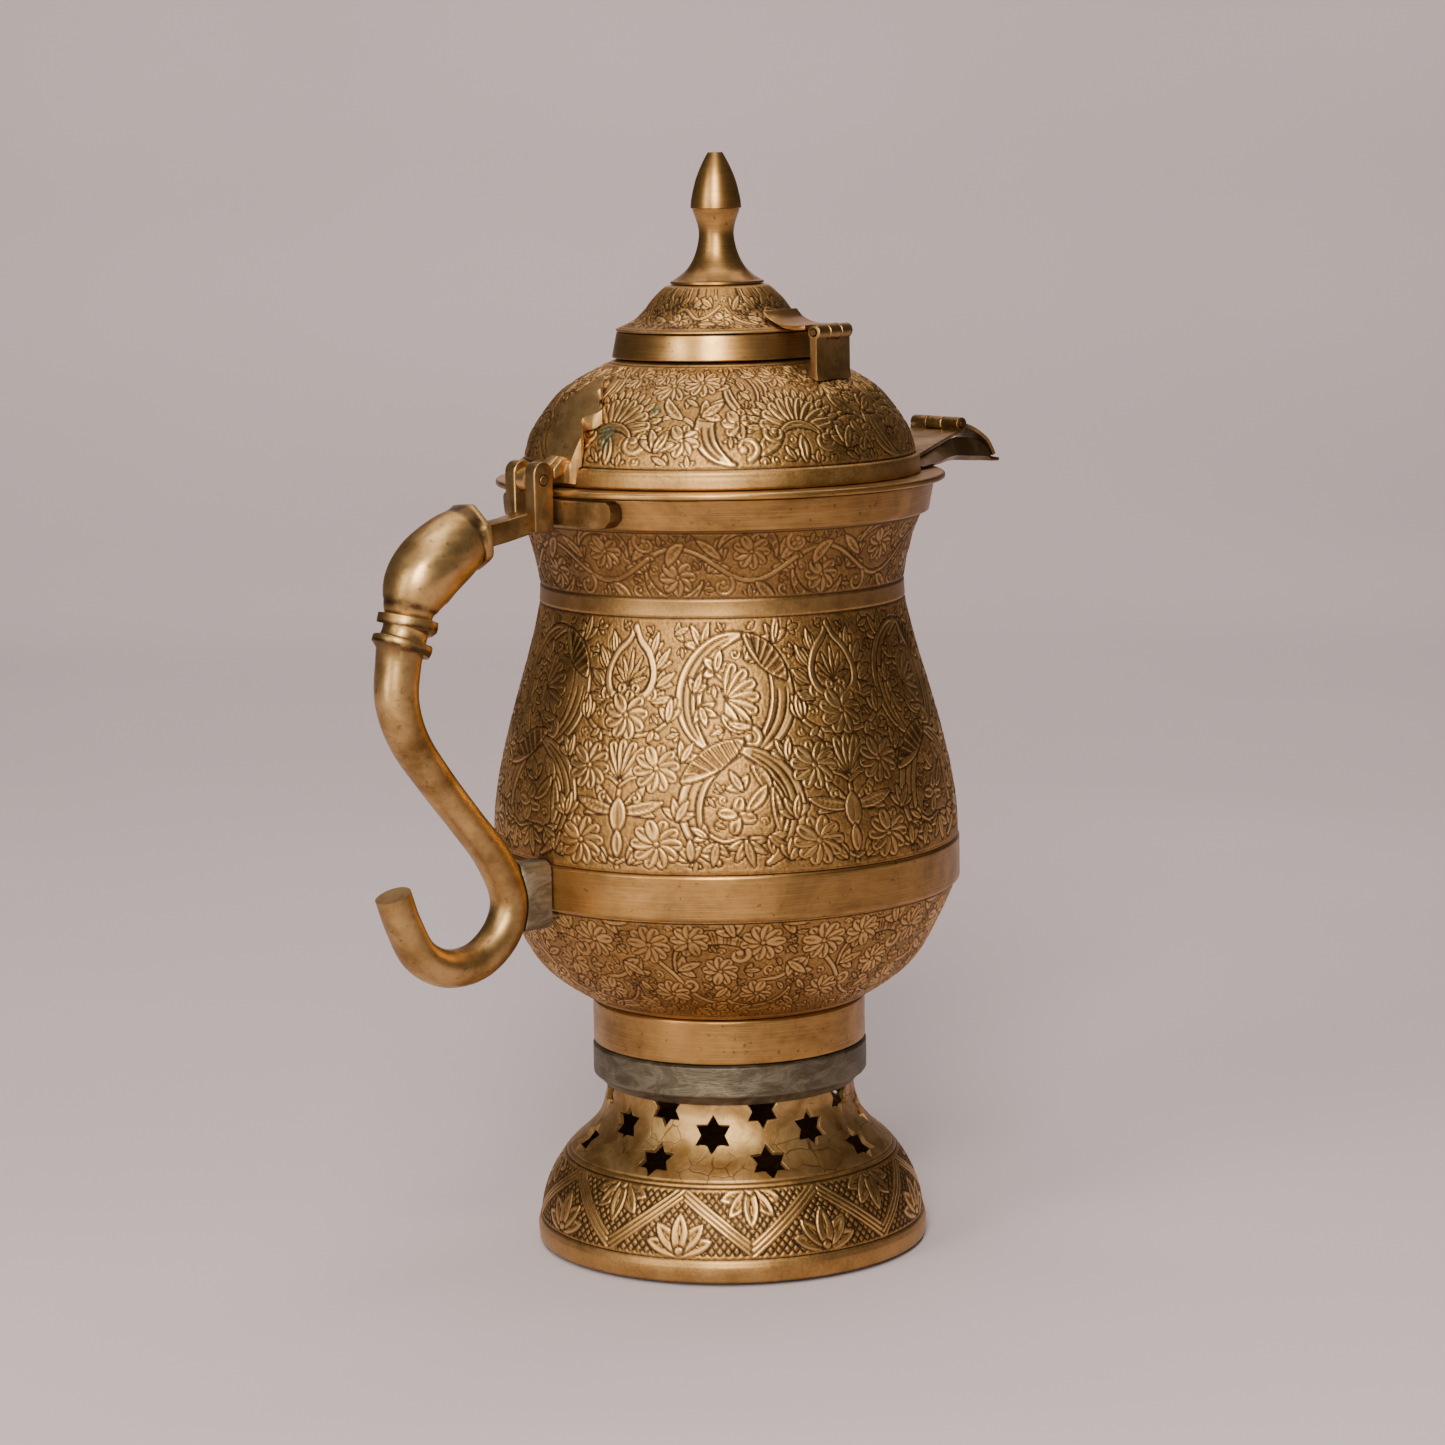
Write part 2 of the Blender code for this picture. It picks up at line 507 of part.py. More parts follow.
# Flap: a bent plate from the middle knuckle over the open beak.
flap_top = [(77.2, 208.3), (79.2, 207.4), (82.7, 206.1), (87.6, 203.9), (90.4, 202.0),
            (92.3, 199.6), (93.3, 198.2)]
flap_half = [2.7, 6.9, 7.3, 5.9, 5.2, 4.8, 4.5]
flap_low = inside(flap_top, 1.2)
flap = loft("spout_flap", [[(a[0], -w, a[1]), (a[0], w, a[1]), (b[0], w, b[1]), (b[0], -w, b[1])]
                           for a, b, w in zip(flap_top, flap_low, flap_half)])
cut(flap, make_cutter(rod("flap_knuckle", (fx, 0, fz), 2.7, BARREL_R, segments=16)), "UNION")
cut(flap, make_cutter(rod("flap_knuckle_bore", (fx, 0, fz), 4, BARREL_PIN + GAP, segments=12)))
for side in (-1, 1):
    cut(flap, make_cutter(rod("flap_relief", (fx, side * 6.5, fz), 3.5, BARREL_R + 0.4,
                              segments=16)))
finish(flap, flap_axis, CAST, 0.4)

# ---- cap -------------------------------------------------------------------------------
cap_ring = [(25.8, CAP_BAND_TOP), (CAP_R, CAP_BOTTOM), (CAP_R - THIN, CAP_BOTTOM),
            (25.8 - THIN, CAP_BAND_TOP)]
finish(turned("cap_band", cap_ring, closed=True), cap_axis, PLAIN, 0.34)
cap_line = [(0.0, 246.7), (11.8, 246.7), (13.6, 246.1), (16.4, 243.4), (19.0, 240.2), (21.6, 237.9),
            (25.9, 235.9), (25.9, 235.4), (21.4, 236.7), (18.0, 239.4), (15.4, 242.6),
            (12.8, 245.1), (11.4, 245.6), (0.0, 245.6)]
finish(turned("cap_dome", cap_line), cap_axis, PLAIN, 0.34)

flare = spline([(11.2, 247.8), (7.9, 250.3), (5.7, 253.8), (4.5, 258.4), (4.6, 261.2),
                (6.45, 265.2)], 2)
acorn = spline([(6.45, 265.9), (6.2, 268.4), (5.1, 272.9), (3.6, 276.6), (1.9, TOTAL_HEIGHT)], 2)
finial = [(0.0, TOTAL_HEIGHT)] + list(reversed(acorn)) + list(reversed(flare)) \
    + [(11.9, FINIAL_BOTTOM + 0.3), (11.9, FINIAL_BOTTOM), (0.0, FINIAL_BOTTOM)]
finish(turned("finial", finial, steps=SEG_SMALL), cap_axis, PLAIN, 0.3)

# ---- side hinge of the cap ---------------------------------------------------------------
# Built along X at the hinge radius and then turned to its place on the rim of the dome.
side_turn = math.radians(CAP_HINGE_AZ)
half_barrel = 7.2


def turned_to_side(ob):
    ob.data.transform(Matrix.Rotation(side_turn, 4, "Z"))
    return ob


bx, bz = CAP_HINGE_R, CAP_HINGE_Z
post_outline = [(bx - 1.3, bz - 0.6), (bx - 1.1, 224.2), (bx - 1.6, 223.4), (bx + 1.2, 223.4),
                (bx + 0.9, 226.0), (bx + 0.9, bz - 0.6)]
post = turned_to_side(plate("cap_hinge_bracket", post_outline, half_barrel))
seat = make_cutter(turned("dome_seat", [(0, 240), (20, 240)]
                          + inside([(20.0, 231.5)] + dome_line, -0.35) + [(0, 203)]))
cut(post, seat)
for side in (-1, 1):
    cut(post, make_cutter(turned_to_side(rod("post_knuckle", (bx, side * 4.9, bz), 2.3, BARREL_R,
                                             segments=16))), "UNION")
cut(post, make_cutter(turned_to_side(rod("post_bore", (bx, 0, bz), 12, BARREL_PIN + GAP,
                                         segments=12))))
cut(post, make_cutter(turned_to_side(rod("cap_knuckle_clearance", (bx, 0, bz), 2.6,
                                         BARREL_R + 0.4, segments=16))))
finish(post, lid_axis, CAST, 0.4)
finish(turned_to_side(rod("cap_hinge_pin", (bx, 0, bz), 7.5, BARREL_PIN, segments=12)), lid_axis,
       DARK, 0.45)

# Strap from the shoulder of the cap to the middle knuckle.
strap_line = [(19.6, 240.7), (21.8, 238.6), (25.2, 237.3), (29.0, 237.0), (32.4, 237.2)]
strap_low = [(32.4, 236.0), (29.0, 235.9), (26.3, 236.2), (25.2, 236.55), (21.7, 238.15),
             (19.4, 239.95)]
strap = turned_to_side(plate("cap_strap", strap_line + strap_low, half_barrel, bevel=0.2))
tongue_line = [(30.5, 237.1), (bx, bz + BARREL_R), (bx, bz + 0.9), (30.5, 236.0)]
cut(strap, make_cutter(turned_to_side(plate("cap_tongue", tongue_line, 2.2))), "UNION")
cut(strap, make_cutter(turned_to_side(rod("cap_knuckle", (bx, 0, bz), 2.3, BARREL_R,
                                          segments=16))), "UNION")
cut(strap, make_cutter(turned_to_side(rod("cap_bore", (bx, 0, bz), 4, BARREL_PIN + GAP,
                                          segments=12))))
cap_clear = make_cutter(turned("cap_clearance", [(0, 247.2), (12.0, 247.2)]
                               + inside([(13.6, 246.1), (16.4, 243.4), (19.0, 240.2), (21.6, 237.9),
                                         (25.9, 235.9)], -0.33) + [(26.25, 235.0), (0, 235.0)]))
cut(strap, cap_clear)
finish(strap, cap_axis, PLAIN, 0.36)
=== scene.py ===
"""Studio scene of a lidded brass ewer: engraved body, pierced foot, hinged lid, cap and flap."""
import json
import math
from contextlib import contextmanager

import bmesh
import bpy
import numpy as np
from bpy.props import FloatProperty, FloatVectorProperty, IntProperty, PointerProperty
from mathutils import Matrix, Vector


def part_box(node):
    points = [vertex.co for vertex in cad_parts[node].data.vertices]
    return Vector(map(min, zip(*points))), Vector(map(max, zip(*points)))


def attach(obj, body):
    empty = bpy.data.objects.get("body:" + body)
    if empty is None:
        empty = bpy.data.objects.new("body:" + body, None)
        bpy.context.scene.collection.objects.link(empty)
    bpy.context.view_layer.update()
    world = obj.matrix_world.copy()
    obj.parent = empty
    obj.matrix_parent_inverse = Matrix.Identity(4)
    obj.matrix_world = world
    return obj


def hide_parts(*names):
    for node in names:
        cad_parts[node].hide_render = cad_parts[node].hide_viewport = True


bl_info = {
    "name": "Brass Kalash Ewer",
    "version": (1, 0, 0),
    "blender": (4, 5, 0),
    "location": "3D View > Sidebar > Kalash",
    "description": "Builds the finished surfaces of a lidded brass ewer round its packed frame",
    "category": "Object",
}

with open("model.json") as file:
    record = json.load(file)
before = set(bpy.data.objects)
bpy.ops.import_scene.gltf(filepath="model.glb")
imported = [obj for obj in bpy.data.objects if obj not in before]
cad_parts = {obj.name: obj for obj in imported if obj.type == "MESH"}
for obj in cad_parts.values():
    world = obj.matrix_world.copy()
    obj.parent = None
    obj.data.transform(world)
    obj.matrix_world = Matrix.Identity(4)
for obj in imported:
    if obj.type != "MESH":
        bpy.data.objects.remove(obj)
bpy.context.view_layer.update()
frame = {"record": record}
MM = 0.001


def node_box(node):
    """Lowest and highest corner of a frame node in millimetres."""
    low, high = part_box(node)
    return [v / MM for v in low], [v / MM for v in high]


BELLY_LOW, BELLY_HIGH = node_box("belly_band")
AXIS_X = (BELLY_LOW[0] + BELLY_HIGH[0]) / 2
BELLY_R = (BELLY_HIGH[0] - BELLY_LOW[0]) / 2
JOINTS = {j["name"]: [c / MM for c in j["pos_m"]] for j in frame["record"]["behaviour"]["joints"]}


# ---- settings ---------------------------------------------------------------------------
class KalashSizes(bpy.types.PropertyGroup):
    columns: IntProperty(name="Columns", description="Steps round the engraved pieces",
                         default=1200, min=96, max=2400)
    row_step: FloatProperty(name="Row Step", description="Height of one row of engraved faces",
                            default=0.00036, min=0.0002, max=0.004, subtype="DISTANCE",
                            unit="LENGTH")
    engraving_depth: FloatProperty(name="Engraving Depth", description="Depth of the chased ground",
                                   default=0.00037, min=0.0, max=0.001, subtype="DISTANCE",
                                   unit="LENGTH")
    sheet: FloatProperty(name="Sheet", description="Thickness of the brass sheet",
                         default=0.0013, min=0.0005, max=0.003, subtype="DISTANCE", unit="LENGTH")


class KalashFinishes(bpy.types.PropertyGroup):
    worn: FloatVectorProperty(name="Worn Brass", description="Brass rubbed bright on the highs",
                              default=(0.66, 0.405, 0.155), size=3, min=0, max=1, subtype="COLOR")
    brass: FloatVectorProperty(name="Brass", description="Brass under a light brown patina",
                               default=(0.43, 0.225, 0.066), size=3, min=0, max=1, subtype="COLOR")
    # patina: the brown of real tarnish, also used as the colour of the painted shade on the neck
    # and in the cuts
    patina: FloatVectorProperty(name="Patina", description="Dark brown tarnish in the recesses",
                                default=(0.085, 0.044, 0.017), size=3, min=0, max=1,
                                subtype="COLOR")
    solder: FloatVectorProperty(name="Solder", description="Grey-green brazing metal",
                                default=(0.17, 0.15, 0.105), size=3, min=0, max=1, subtype="COLOR")
    verdigris: FloatVectorProperty(name="Verdigris", description="Green copper salts in corners",
                                   default=(0.085, 0.135, 0.085), size=3, min=0, max=1,
                                   subtype="COLOR")


class KalashStage(bpy.types.PropertyGroup):
    floor: FloatVectorProperty(name="Floor", description="Pale warm grey paper",
                               default=(0.59, 0.5, 0.498), size=3, min=0, max=1, subtype="COLOR")
    lens: FloatProperty(name="Lens", description="Focal length of the camera in millimetres",
                        default=97.35, min=20, max=300)
    key_power: FloatProperty(name="Key Light", description="Power of the main soft light in watts",
                             default=32.0, min=0, max=500)
    world: FloatProperty(name="Surroundings", description="Brightness of the room", default=0.07,
                         min=0, max=5)


# ---- mesh tools ---------------------------------------------------------------------------
def smooth_line(points, step, closed=False):
    """Catmull-Rom curve through points, resampled to an even step."""
    pts = np.array(points, float)
    ends = (pts[-1:], pts[:1]) if closed else (pts[:1], pts[-1:])
    p = np.vstack([ends[0], pts, ends[1]] + ([pts[1:2]] if closed else []))
    spans = len(pts) if closed else len(pts) - 1
    t = np.linspace(0, 1, 24, endpoint=False)[:, None]
    dense = []
    for i in range(1, spans + 1):
        a, b, c, d = p[i - 1], p[i], p[i + 1], p[i + 2]
        dense.append(0.5 * (2 * b + (c - a) * t + (2 * a - 5 * b + 4 * c - d) * t ** 2
                            + (3 * b - a - 3 * c + d) * t ** 3))
    dense = np.vstack(dense + [p[spans + 1:spans + 2]])
    run = np.concatenate([[0], np.cumsum(np.hypot(*np.diff(dense[:, :2], axis=0).T))])
    count = max(int(round(run[-1] / step)), 2)
    at = np.linspace(0, run[-1], count + 1)
    return np.column_stack([np.interp(at, run, dense[:, k]) for k in range(pts.shape[1])])


def dense_polyline(points, step):
    """Straight runs between points, cut to an even step, corners kept."""
    out = [np.array(points[0], float)[None]]
    for a, b in zip(points, points[1:]):
        a, b = np.array(a, float), np.array(b, float)
        n = max(int(math.ceil(np.hypot(*(b - a)) / step)), 1)
        out.append(a + (b - a) * (np.arange(1, n + 1) / n)[:, None])
    return np.vstack(out)


def line_normals(line):
    """Normals of a (radius, height) line that runs down its outer side."""
    d = np.gradient(line, axis=0)
    d /= np.maximum(np.hypot(d[:, 0], d[:, 1]), 1e-9)[:, None]
    return np.column_stack([-d[:, 1], d[:, 0]])


def placed(name, data):
    """New object for some data, linked into the scene."""
    ob = bpy.data.objects.new(name, data)
    bpy.context.scene.collection.objects.link(ob)
    return ob


def from_bmesh(name, bm):
    """New object from a finished bmesh, which is freed."""
    mesh = bpy.data.meshes.new(name)
    bm.to_mesh(mesh)
    bm.free()
    return placed(name, mesh)


@contextmanager
def editing(ob):
    """The object's mesh as a bmesh, written back afterwards."""
    bm = bmesh.new()
    bm.from_mesh(ob.data)
    bm.verts.ensure_lookup_table()
    yield bm
    bm.to_mesh(ob.data)
    bm.free()


def turned(line, theta):
    """Points of a (radius, height) line turned round the pot's axis."""
    return np.stack([line[:, :1] * np.sin(theta), -line[:, :1] * np.cos(theta),
                     np.repeat(line[:, 1:2], len(theta), 1)], -1)


def grid_object(name, places, fields=None, closed_rows=False, closed_columns=True):
    """Mesh object from a (rows, columns, 3) array of points in millimetres."""
    rows, columns = places.shape[:2]
    index = np.arange(rows * columns).reshape(rows, columns)
    below = np.roll(index, -1, 0) if closed_rows else index[1:]
    here = index if closed_rows else index[:-1]
    if closed_columns:
        quads = np.stack([here, below, np.roll(below, -1, 1), np.roll(here, -1, 1)], -1)
    else:
        quads = np.stack([here[:, :-1], below[:, :-1], below[:, 1:], here[:, 1:]], -1)
    mesh = bpy.data.meshes.new(name)
    mesh.from_pydata((places.reshape(-1, 3) * MM).tolist(), [], quads.reshape(-1, 4).tolist())
    for key, values in (fields or {}).items():
        layer = mesh.attributes.new(key, "FLOAT", "POINT")
        layer.data.foreach_set("value", np.ascontiguousarray(values, np.float32).ravel())
    mesh.shade_smooth()
    ob = placed(name, mesh)
    if closed_rows and closed_columns:
        outward(ob)
    return ob


def outward(ob):
    """Turns every face of a closed skin to look out."""
    with editing(ob) as bm:
        bmesh.ops.recalc_face_normals(bm, faces=bm.faces)
    return ob


def weld(ob, distance=1e-7):
    """Joins points that lie on one another."""
    with editing(ob) as bm:
        bmesh.ops.remove_doubles(bm, verts=bm.verts, dist=distance)


def crisp(ob, angle=35):
    """Smooth shading that keeps the edges sharper than an angle."""
    ob.data.shade_smooth()
    ob.data.set_sharp_from_angle(angle=math.radians(angle))
    return ob


def apply_modifiers(ob):
    """Makes the object's modifiers part of its mesh."""
    bpy.context.view_layer.update()
    graph = bpy.context.evaluated_depsgraph_get()
    mesh = bpy.data.meshes.new_from_object(ob.evaluated_get(graph))
    mesh.validate()
    ob.modifiers.clear()
    old = ob.data
    ob.data = mesh
    bpy.data.meshes.remove(old)
    return ob


def boolean(ob, tool, operation="DIFFERENCE"):
    """Cuts or joins a tool solid, which is then removed."""
    mod = ob.modifiers.new("Cut", "BOOLEAN")
    mod.operation, mod.object, mod.solver = operation, tool, "MANIFOLD"
    apply_modifiers(ob)
    bpy.data.objects.remove(tool, do_unlink=True)
    return ob


def round_edges(ob, width, segments=3, angle=30):
    """Rounds the edges sharper than an angle by a width in millimetres."""
    mod = ob.modifiers.new("Edges", "BEVEL")
    mod.width, mod.segments, mod.limit_method = width * MM, segments, "ANGLE"
    mod.angle_limit = math.radians(angle)
    mod.harden_normals = False
    apply_modifiers(ob)
    return crisp(ob, 40)


def prism(name, outline, low, high, axis="Y"):
    """Flat outline of (u, v) points carried from low to high along an axis, millimetres.
    Along Y the outline is (x, z); along Z it is (x, y)."""
    bm = bmesh.new()
    place = (lambda u, v, w: (u, w, v)) if axis == "Y" else (lambda u, v, w: (u, v, w))
    a = [bm.verts.new(Vector(place(u, v, low)) * MM) for u, v in outline]
    b = [bm.verts.new(Vector(place(u, v, high)) * MM) for u, v in outline]
    bm.faces.new(a)
    bm.faces.new(list(reversed(b)))
    for i in range(len(a)):
        j = (i + 1) % len(a)
        bm.faces.new((a[i], b[i], b[j], a[j]))
    bmesh.ops.recalc_face_normals(bm, faces=bm.faces)
    return from_bmesh(name, bm)


def rod(name, centre, half, radius, segments=40):
    """Round pin along Y, centred on a point, with eased ends."""
    ring = [(0.0, half), (radius * 0.55, half), (radius * 0.9, half), (radius, half - 0.15)]
    line = np.array(ring + [(r, -h) for r, h in reversed(ring)])
    theta = np.arange(segments) * math.tau / segments
    ob = grid_object(name, turned(line, theta))
    weld(ob)
    turn = Vector((0, 0, 1)).rotation_difference(Vector((0, 1, 0))).to_matrix().to_4x4()
    ob.data.transform(Matrix.Translation(Vector(centre) * MM) @ turn)
    return crisp(ob, 50)


def loft(name, rings):
    """Skin between closed rings of equal point count, capped at both ends."""
    bm = bmesh.new()
    rows = [[bm.verts.new(Vector(p) * MM) for p in ring] for ring in rings]
    for a, b in zip(rows, rows[1:]):
        for i in range(len(a)):
            j = (i + 1) % len(a)
            bm.faces.new((a[i], a[j], b[j], b[i]))
    bm.faces.new(rows[0])
    bm.faces.new(list(reversed(rows[-1])))
    bmesh.ops.recalc_face_normals(bm, faces=bm.faces)
    return from_bmesh(name, bm)


def tube(path, sides=48):
    """Round bar along (x, z, radius) points in the plane of the handle."""
    pts = np.array(path, float)
    d = np.gradient(pts[:, :2], axis=0)
    d /= np.maximum(np.hypot(d[:, 0], d[:, 1]), 1e-9)[:, None]
    phi = np.arange(sides) * math.tau / sides
    out = pts[:, 2:3] * np.cos(phi)
    return np.stack([pts[:, :1] + out * -d[:, 1:2], pts[:, 2:3] * np.sin(phi),
                     pts[:, 1:2] + out * d[:, 0:1]], -1)


def close_ends(ob, rows, columns):
    """Caps both ends of an open tube of points."""
    with editing(ob) as bm:
        for row in (0, rows - 1):
            bm.faces.new([bm.verts[row * columns + i] for i in range(columns)])
        bmesh.ops.recalc_face_normals(bm, faces=bm.faces)
    return ob


def add_piece(ob, finish, body, slot, *nodes):
    """Gives a piece its finish and moves it from the pot's own axis to its place; it rides on a
    body and stands for frame nodes. The slot is not used."""
    put_on(ob, finish)
    ob.data.transform(Matrix.Translation((AXIS_X * MM, 0, 0)))
    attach(ob, body)
    if nodes:
        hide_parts(*nodes)
    return ob


# ---- engraving ------------------------------------------------------------------------------
class Engraving:
    """A strip of chased ornament, one repeat wide, as a height field from -1, the deepest cut,
    to 0, the rims. Shapes are laid one over another like cut leaves."""

    def __init__(self, width, height, repeats, seed, pitch=0.15, ground=-0.36):
        self.width, self.height, self.repeats, self.pitch = width, height, repeats, pitch
        count = int(round(width / pitch))
        self.u = (np.arange(count) + 0.5) * width / count
        self.v = (np.arange(int(round(height / pitch))) + 0.5) * pitch
        self.random = np.random.default_rng(seed)
        self.level = np.full((len(self.v), len(self.u)), ground)
        self.raised = np.zeros_like(self.level)
        self.punch_ground(ground)

    def punch_ground(self, ground):
        """Close small punch marks over the whole ground."""
        rough = self.random.normal(0, 1, self.level.shape)
        for axis in (0, 1):
            rough = (rough + np.roll(rough, 1, axis) + np.roll(rough, -1, axis)) / 3
        self.level += np.clip(rough * 0.30, -0.42, 0.14)

    def _distance(self, pts, widths, reach):
        """Columns, rows and distance outside a stroke of changing half width."""
        pts = np.array(pts, float)
        wide = reach + max(widths)
        step = self.width / len(self.u)
        i0 = int(math.floor((pts[:, 0].min() - wide) / step))
        i1 = int(math.ceil((pts[:, 0].max() + wide) / step))
        j0 = max(int((pts[:, 1].min() - wide) / self.pitch), 0)
        j1 = max(min(int((pts[:, 1].max() + wide) / self.pitch) + 2, len(self.v)), j0)
        columns = np.arange(i0, i1 + 1)
        a, b = pts[:-1], pts[1:]
        wa, wb = np.array(widths[:-1]), np.array(widths[1:])
        ab = b - a
        length2 = np.maximum((ab ** 2).sum(1), 1e-12)
        px = (columns + 0.5)[None, :, None] * step - a[:, 0]
        py = self.v[j0:j1][:, None, None] - a[:, 1]
        t = np.clip((px * ab[:, 0] + py * ab[:, 1]) / length2, 0, 1)
        d = np.hypot(px - t * ab[:, 0], py - t * ab[:, 1]) - (wa + (wb - wa) * t)
        return columns % len(self.u), slice(j0, j1), (d.min(2) if d.size else d[..., 0])

    def _lay(self, rows, columns, k, level, raised=None):
        self.level[rows, columns] += (level - self.level[rows, columns]) * k
        if raised is not None:
            self.raised[rows, columns] += (raised - self.raised[rows, columns]) * k

    def shape(self, pts, widths, dish=0.3, edge=0.42):
        """Raised form with a cut line round it, a bright rim and a dished middle."""
        columns, rows, d = self._distance(pts, widths, edge + 0.5)
        if not d.size:
            return
        self._lay(rows, columns, np.clip(0.5 - (d - edge) / 0.24, 0, 1), -1.0, 0.0)
        deep = np.clip((-d - 0.42) / 0.75, 0, 1)
        self._lay(rows, columns, np.clip(0.5 - d / 0.26, 0, 1),
                  -dish * deep * deep * (3 - 2 * deep), 1.0)

    def groove(self, pts, widths, depth=0.8):
        """Cut of changing half width."""
        columns, rows, d = self._distance(pts, widths, 0.3)
        if d.size:
            self._lay(rows, columns, np.clip(0.5 - d / 0.2, 0, 1), -depth)

    def line(self, pts, width=0.13, depth=0.8):
        """Cut of even width."""
        self.groove(pts, [width] * len(pts), depth)

    # -- motifs --
    def petal(self, x, y, angle, length, width, slot=0.21):
        """Petal that widens outwards, with a short cut along its middle."""
        c, s = math.sin(angle), math.cos(angle)
        t = np.linspace(0, 1, 7)
        wide = [width * (0.22 + 0.78 * math.sin(math.pi * min(k * 0.72, 1)) ** 1.1) * 0.5
                for k in t]
        reach = length - wide[-1]
        self.shape([(x + c * reach * k, y + s * reach * k) for k in t], wide, 0.22, 0.3)
        if slot:
            k = (0.42, 0.62, 0.86)
            self.groove([(x + c * length * q, y + s * length * q) for q in k],
                        [0.04, slot * 0.75, slot], 0.85)

    def daisy(self, x, y, r, petals=9, phase=0.0):
        """Ring of petals round a small eye."""
        for k in range(petals):
            a = phase + k * math.tau / petals
            self.petal(x + math.sin(a) * r * 0.1, y + math.cos(a) * r * 0.1, a, r * 0.9,
                       r * 5.1 / petals)
        self.shape([(x, y), (x + 0.01, y)], [r * 0.1] * 2, 0.0, 0.2)

    def leaf(self, x, y, angle, length, width, bend=0.0, veins=0):
        """Bent leaf with a cut midrib and pairs of veins."""
        t = np.linspace(0, 1, 9)
        pts, px, py = [], x, y
        for k in t:
            pts.append((px, py))
            a = angle + bend * k
            px, py = px + math.sin(a) * length / 8, py + math.cos(a) * length / 8
        self.shape(pts, [max(width * math.sin(math.pi * (0.1 + 0.86 * k)) ** 0.8 * 0.5, 0.1)
                         for k in t], 0.25, 0.34)
        self.groove(pts[1:-2], [0.08, 0.12, 0.13, 0.12, 0.08, 0.04], 0.75)
        for k in range(veins):
            q = 1 + int(k * 6 / max(veins, 1))
            (ax, ay), (bx, by) = pts[q], pts[q + 1]
            h = math.atan2(bx - ax, by - ay)
            for side in (-1, 1):
                reach = width * 0.33 * math.sin(math.pi * (0.15 + 0.7 * q / 8))
                self.line([(ax, ay), (ax + math.sin(h + side * 0.85) * reach,
                                      ay + math.cos(h + side * 0.85) * reach)], 0.09, 0.7)

    def spray(self, x, y, angle, length, width, count, spread, bend=0.3, veins=0):
        """Fingers of leaf opening from one point, the middle one last and longest."""
        order = sorted(range(count), key=lambda k: -abs(k - (count - 1) / 2))
        for k in order:
            q = 2 * k / (count - 1) - 1 if count > 1 else 0.0
            self.leaf(x, y, angle + spread * q, length * (1 - 0.28 * abs(q)), width, bend * q,
                      veins)

    def stem(self, pts, width=0.34, step=0.8):
        """Raised stalk along a smooth curve."""
        line = smooth_line(pts, step)
        self.shape(line, [width] * len(line), 0.0, 0.32)

    def crescent(self, x, y, r, start, end, width, ribs=(0, 0), slot=(0.2, 0.8)):
        """Tapered curved blade from one angle to another, with a long cut and cross ribs."""
        t = np.linspace(0, 1, 30)
        ang = np.radians(start + (end - start) * t)
        w = np.maximum(width * np.sin(math.pi * np.clip(t, 0.02, 0.98)) ** 0.55 * 0.5, 0.16)
        rr = r - w
        self.shape(np.column_stack([x + rr * np.sin(ang), y + rr * np.cos(ang)]), list(w), 0.28)
        keep = (t > slot[0]) & (t < slot[1])
        if keep.sum() > 2:
            n = int(keep.sum())
            swell = np.sin(math.pi * np.linspace(0.1, 0.9, n))
            for across in ((-0.42, 0.30) if width > 3 else (-0.1,)):
                mid = rr + w * across
                cut = np.column_stack([x + mid * np.sin(ang), y + mid * np.cos(ang)])
                self.groove(cut[keep], list(0.12 + width * 0.026 * swell), 0.9)
        for k in np.arange(ribs[0], ribs[1], 0.045):
            i = min(int(k * 29), 28)
            a = ang[i]
            self.groove([(x + (r - 0.45) * math.sin(a), y + (r - 0.45) * math.cos(a)),
                         (x + (r - 2 * w[i] + 0.4) * math.sin(a + 0.1),
                          y + (r - 2 * w[i] + 0.4) * math.cos(a + 0.1))], [0.24, 0.16], 0.8)

    def curl(self, x, y, r, start, turns, width=0.5, grow=0.28):
        """Spiral shoot that ends in a round bud."""
        t = np.linspace(0, 1, 22)
        ang = start + turns * math.tau * t
        rad = r * (1 - (1 - grow) * t)
        pts = np.column_stack([x + rad * np.sin(ang), y + rad * np.cos(ang)])
        self.shape(pts, list(width * (0.5 + 0.35 * (1 - t))), 0.0, 0.24)
        self.shape([tuple(pts[-1]), (pts[-1][0] + 0.01, pts[-1][1])], [width * 1.1] * 2, 0.0, 0.22)

    def fan(self, x, y, r, rays, spread, angle=0.0):
        """Shell of petals opening from one point."""
        for k in range(rays):
            a = angle + spread * (k / (rays - 1) - 0.5)
            self.petal(x + math.sin(a) * r * 0.1, y + math.cos(a) * r * 0.1, a, r * 0.9,
                       r * spread * 1.0 / rays)

    def ring_dot(self, x, y, r=0.85):
        """Small raised bead with a punched middle."""
        self.shape([(x, y), (x + 0.01, y)], [r] * 2, 0.0, 0.22)
        self.groove([(x, y), (x + 0.01, y)], [r * 0.36] * 2, 0.9)

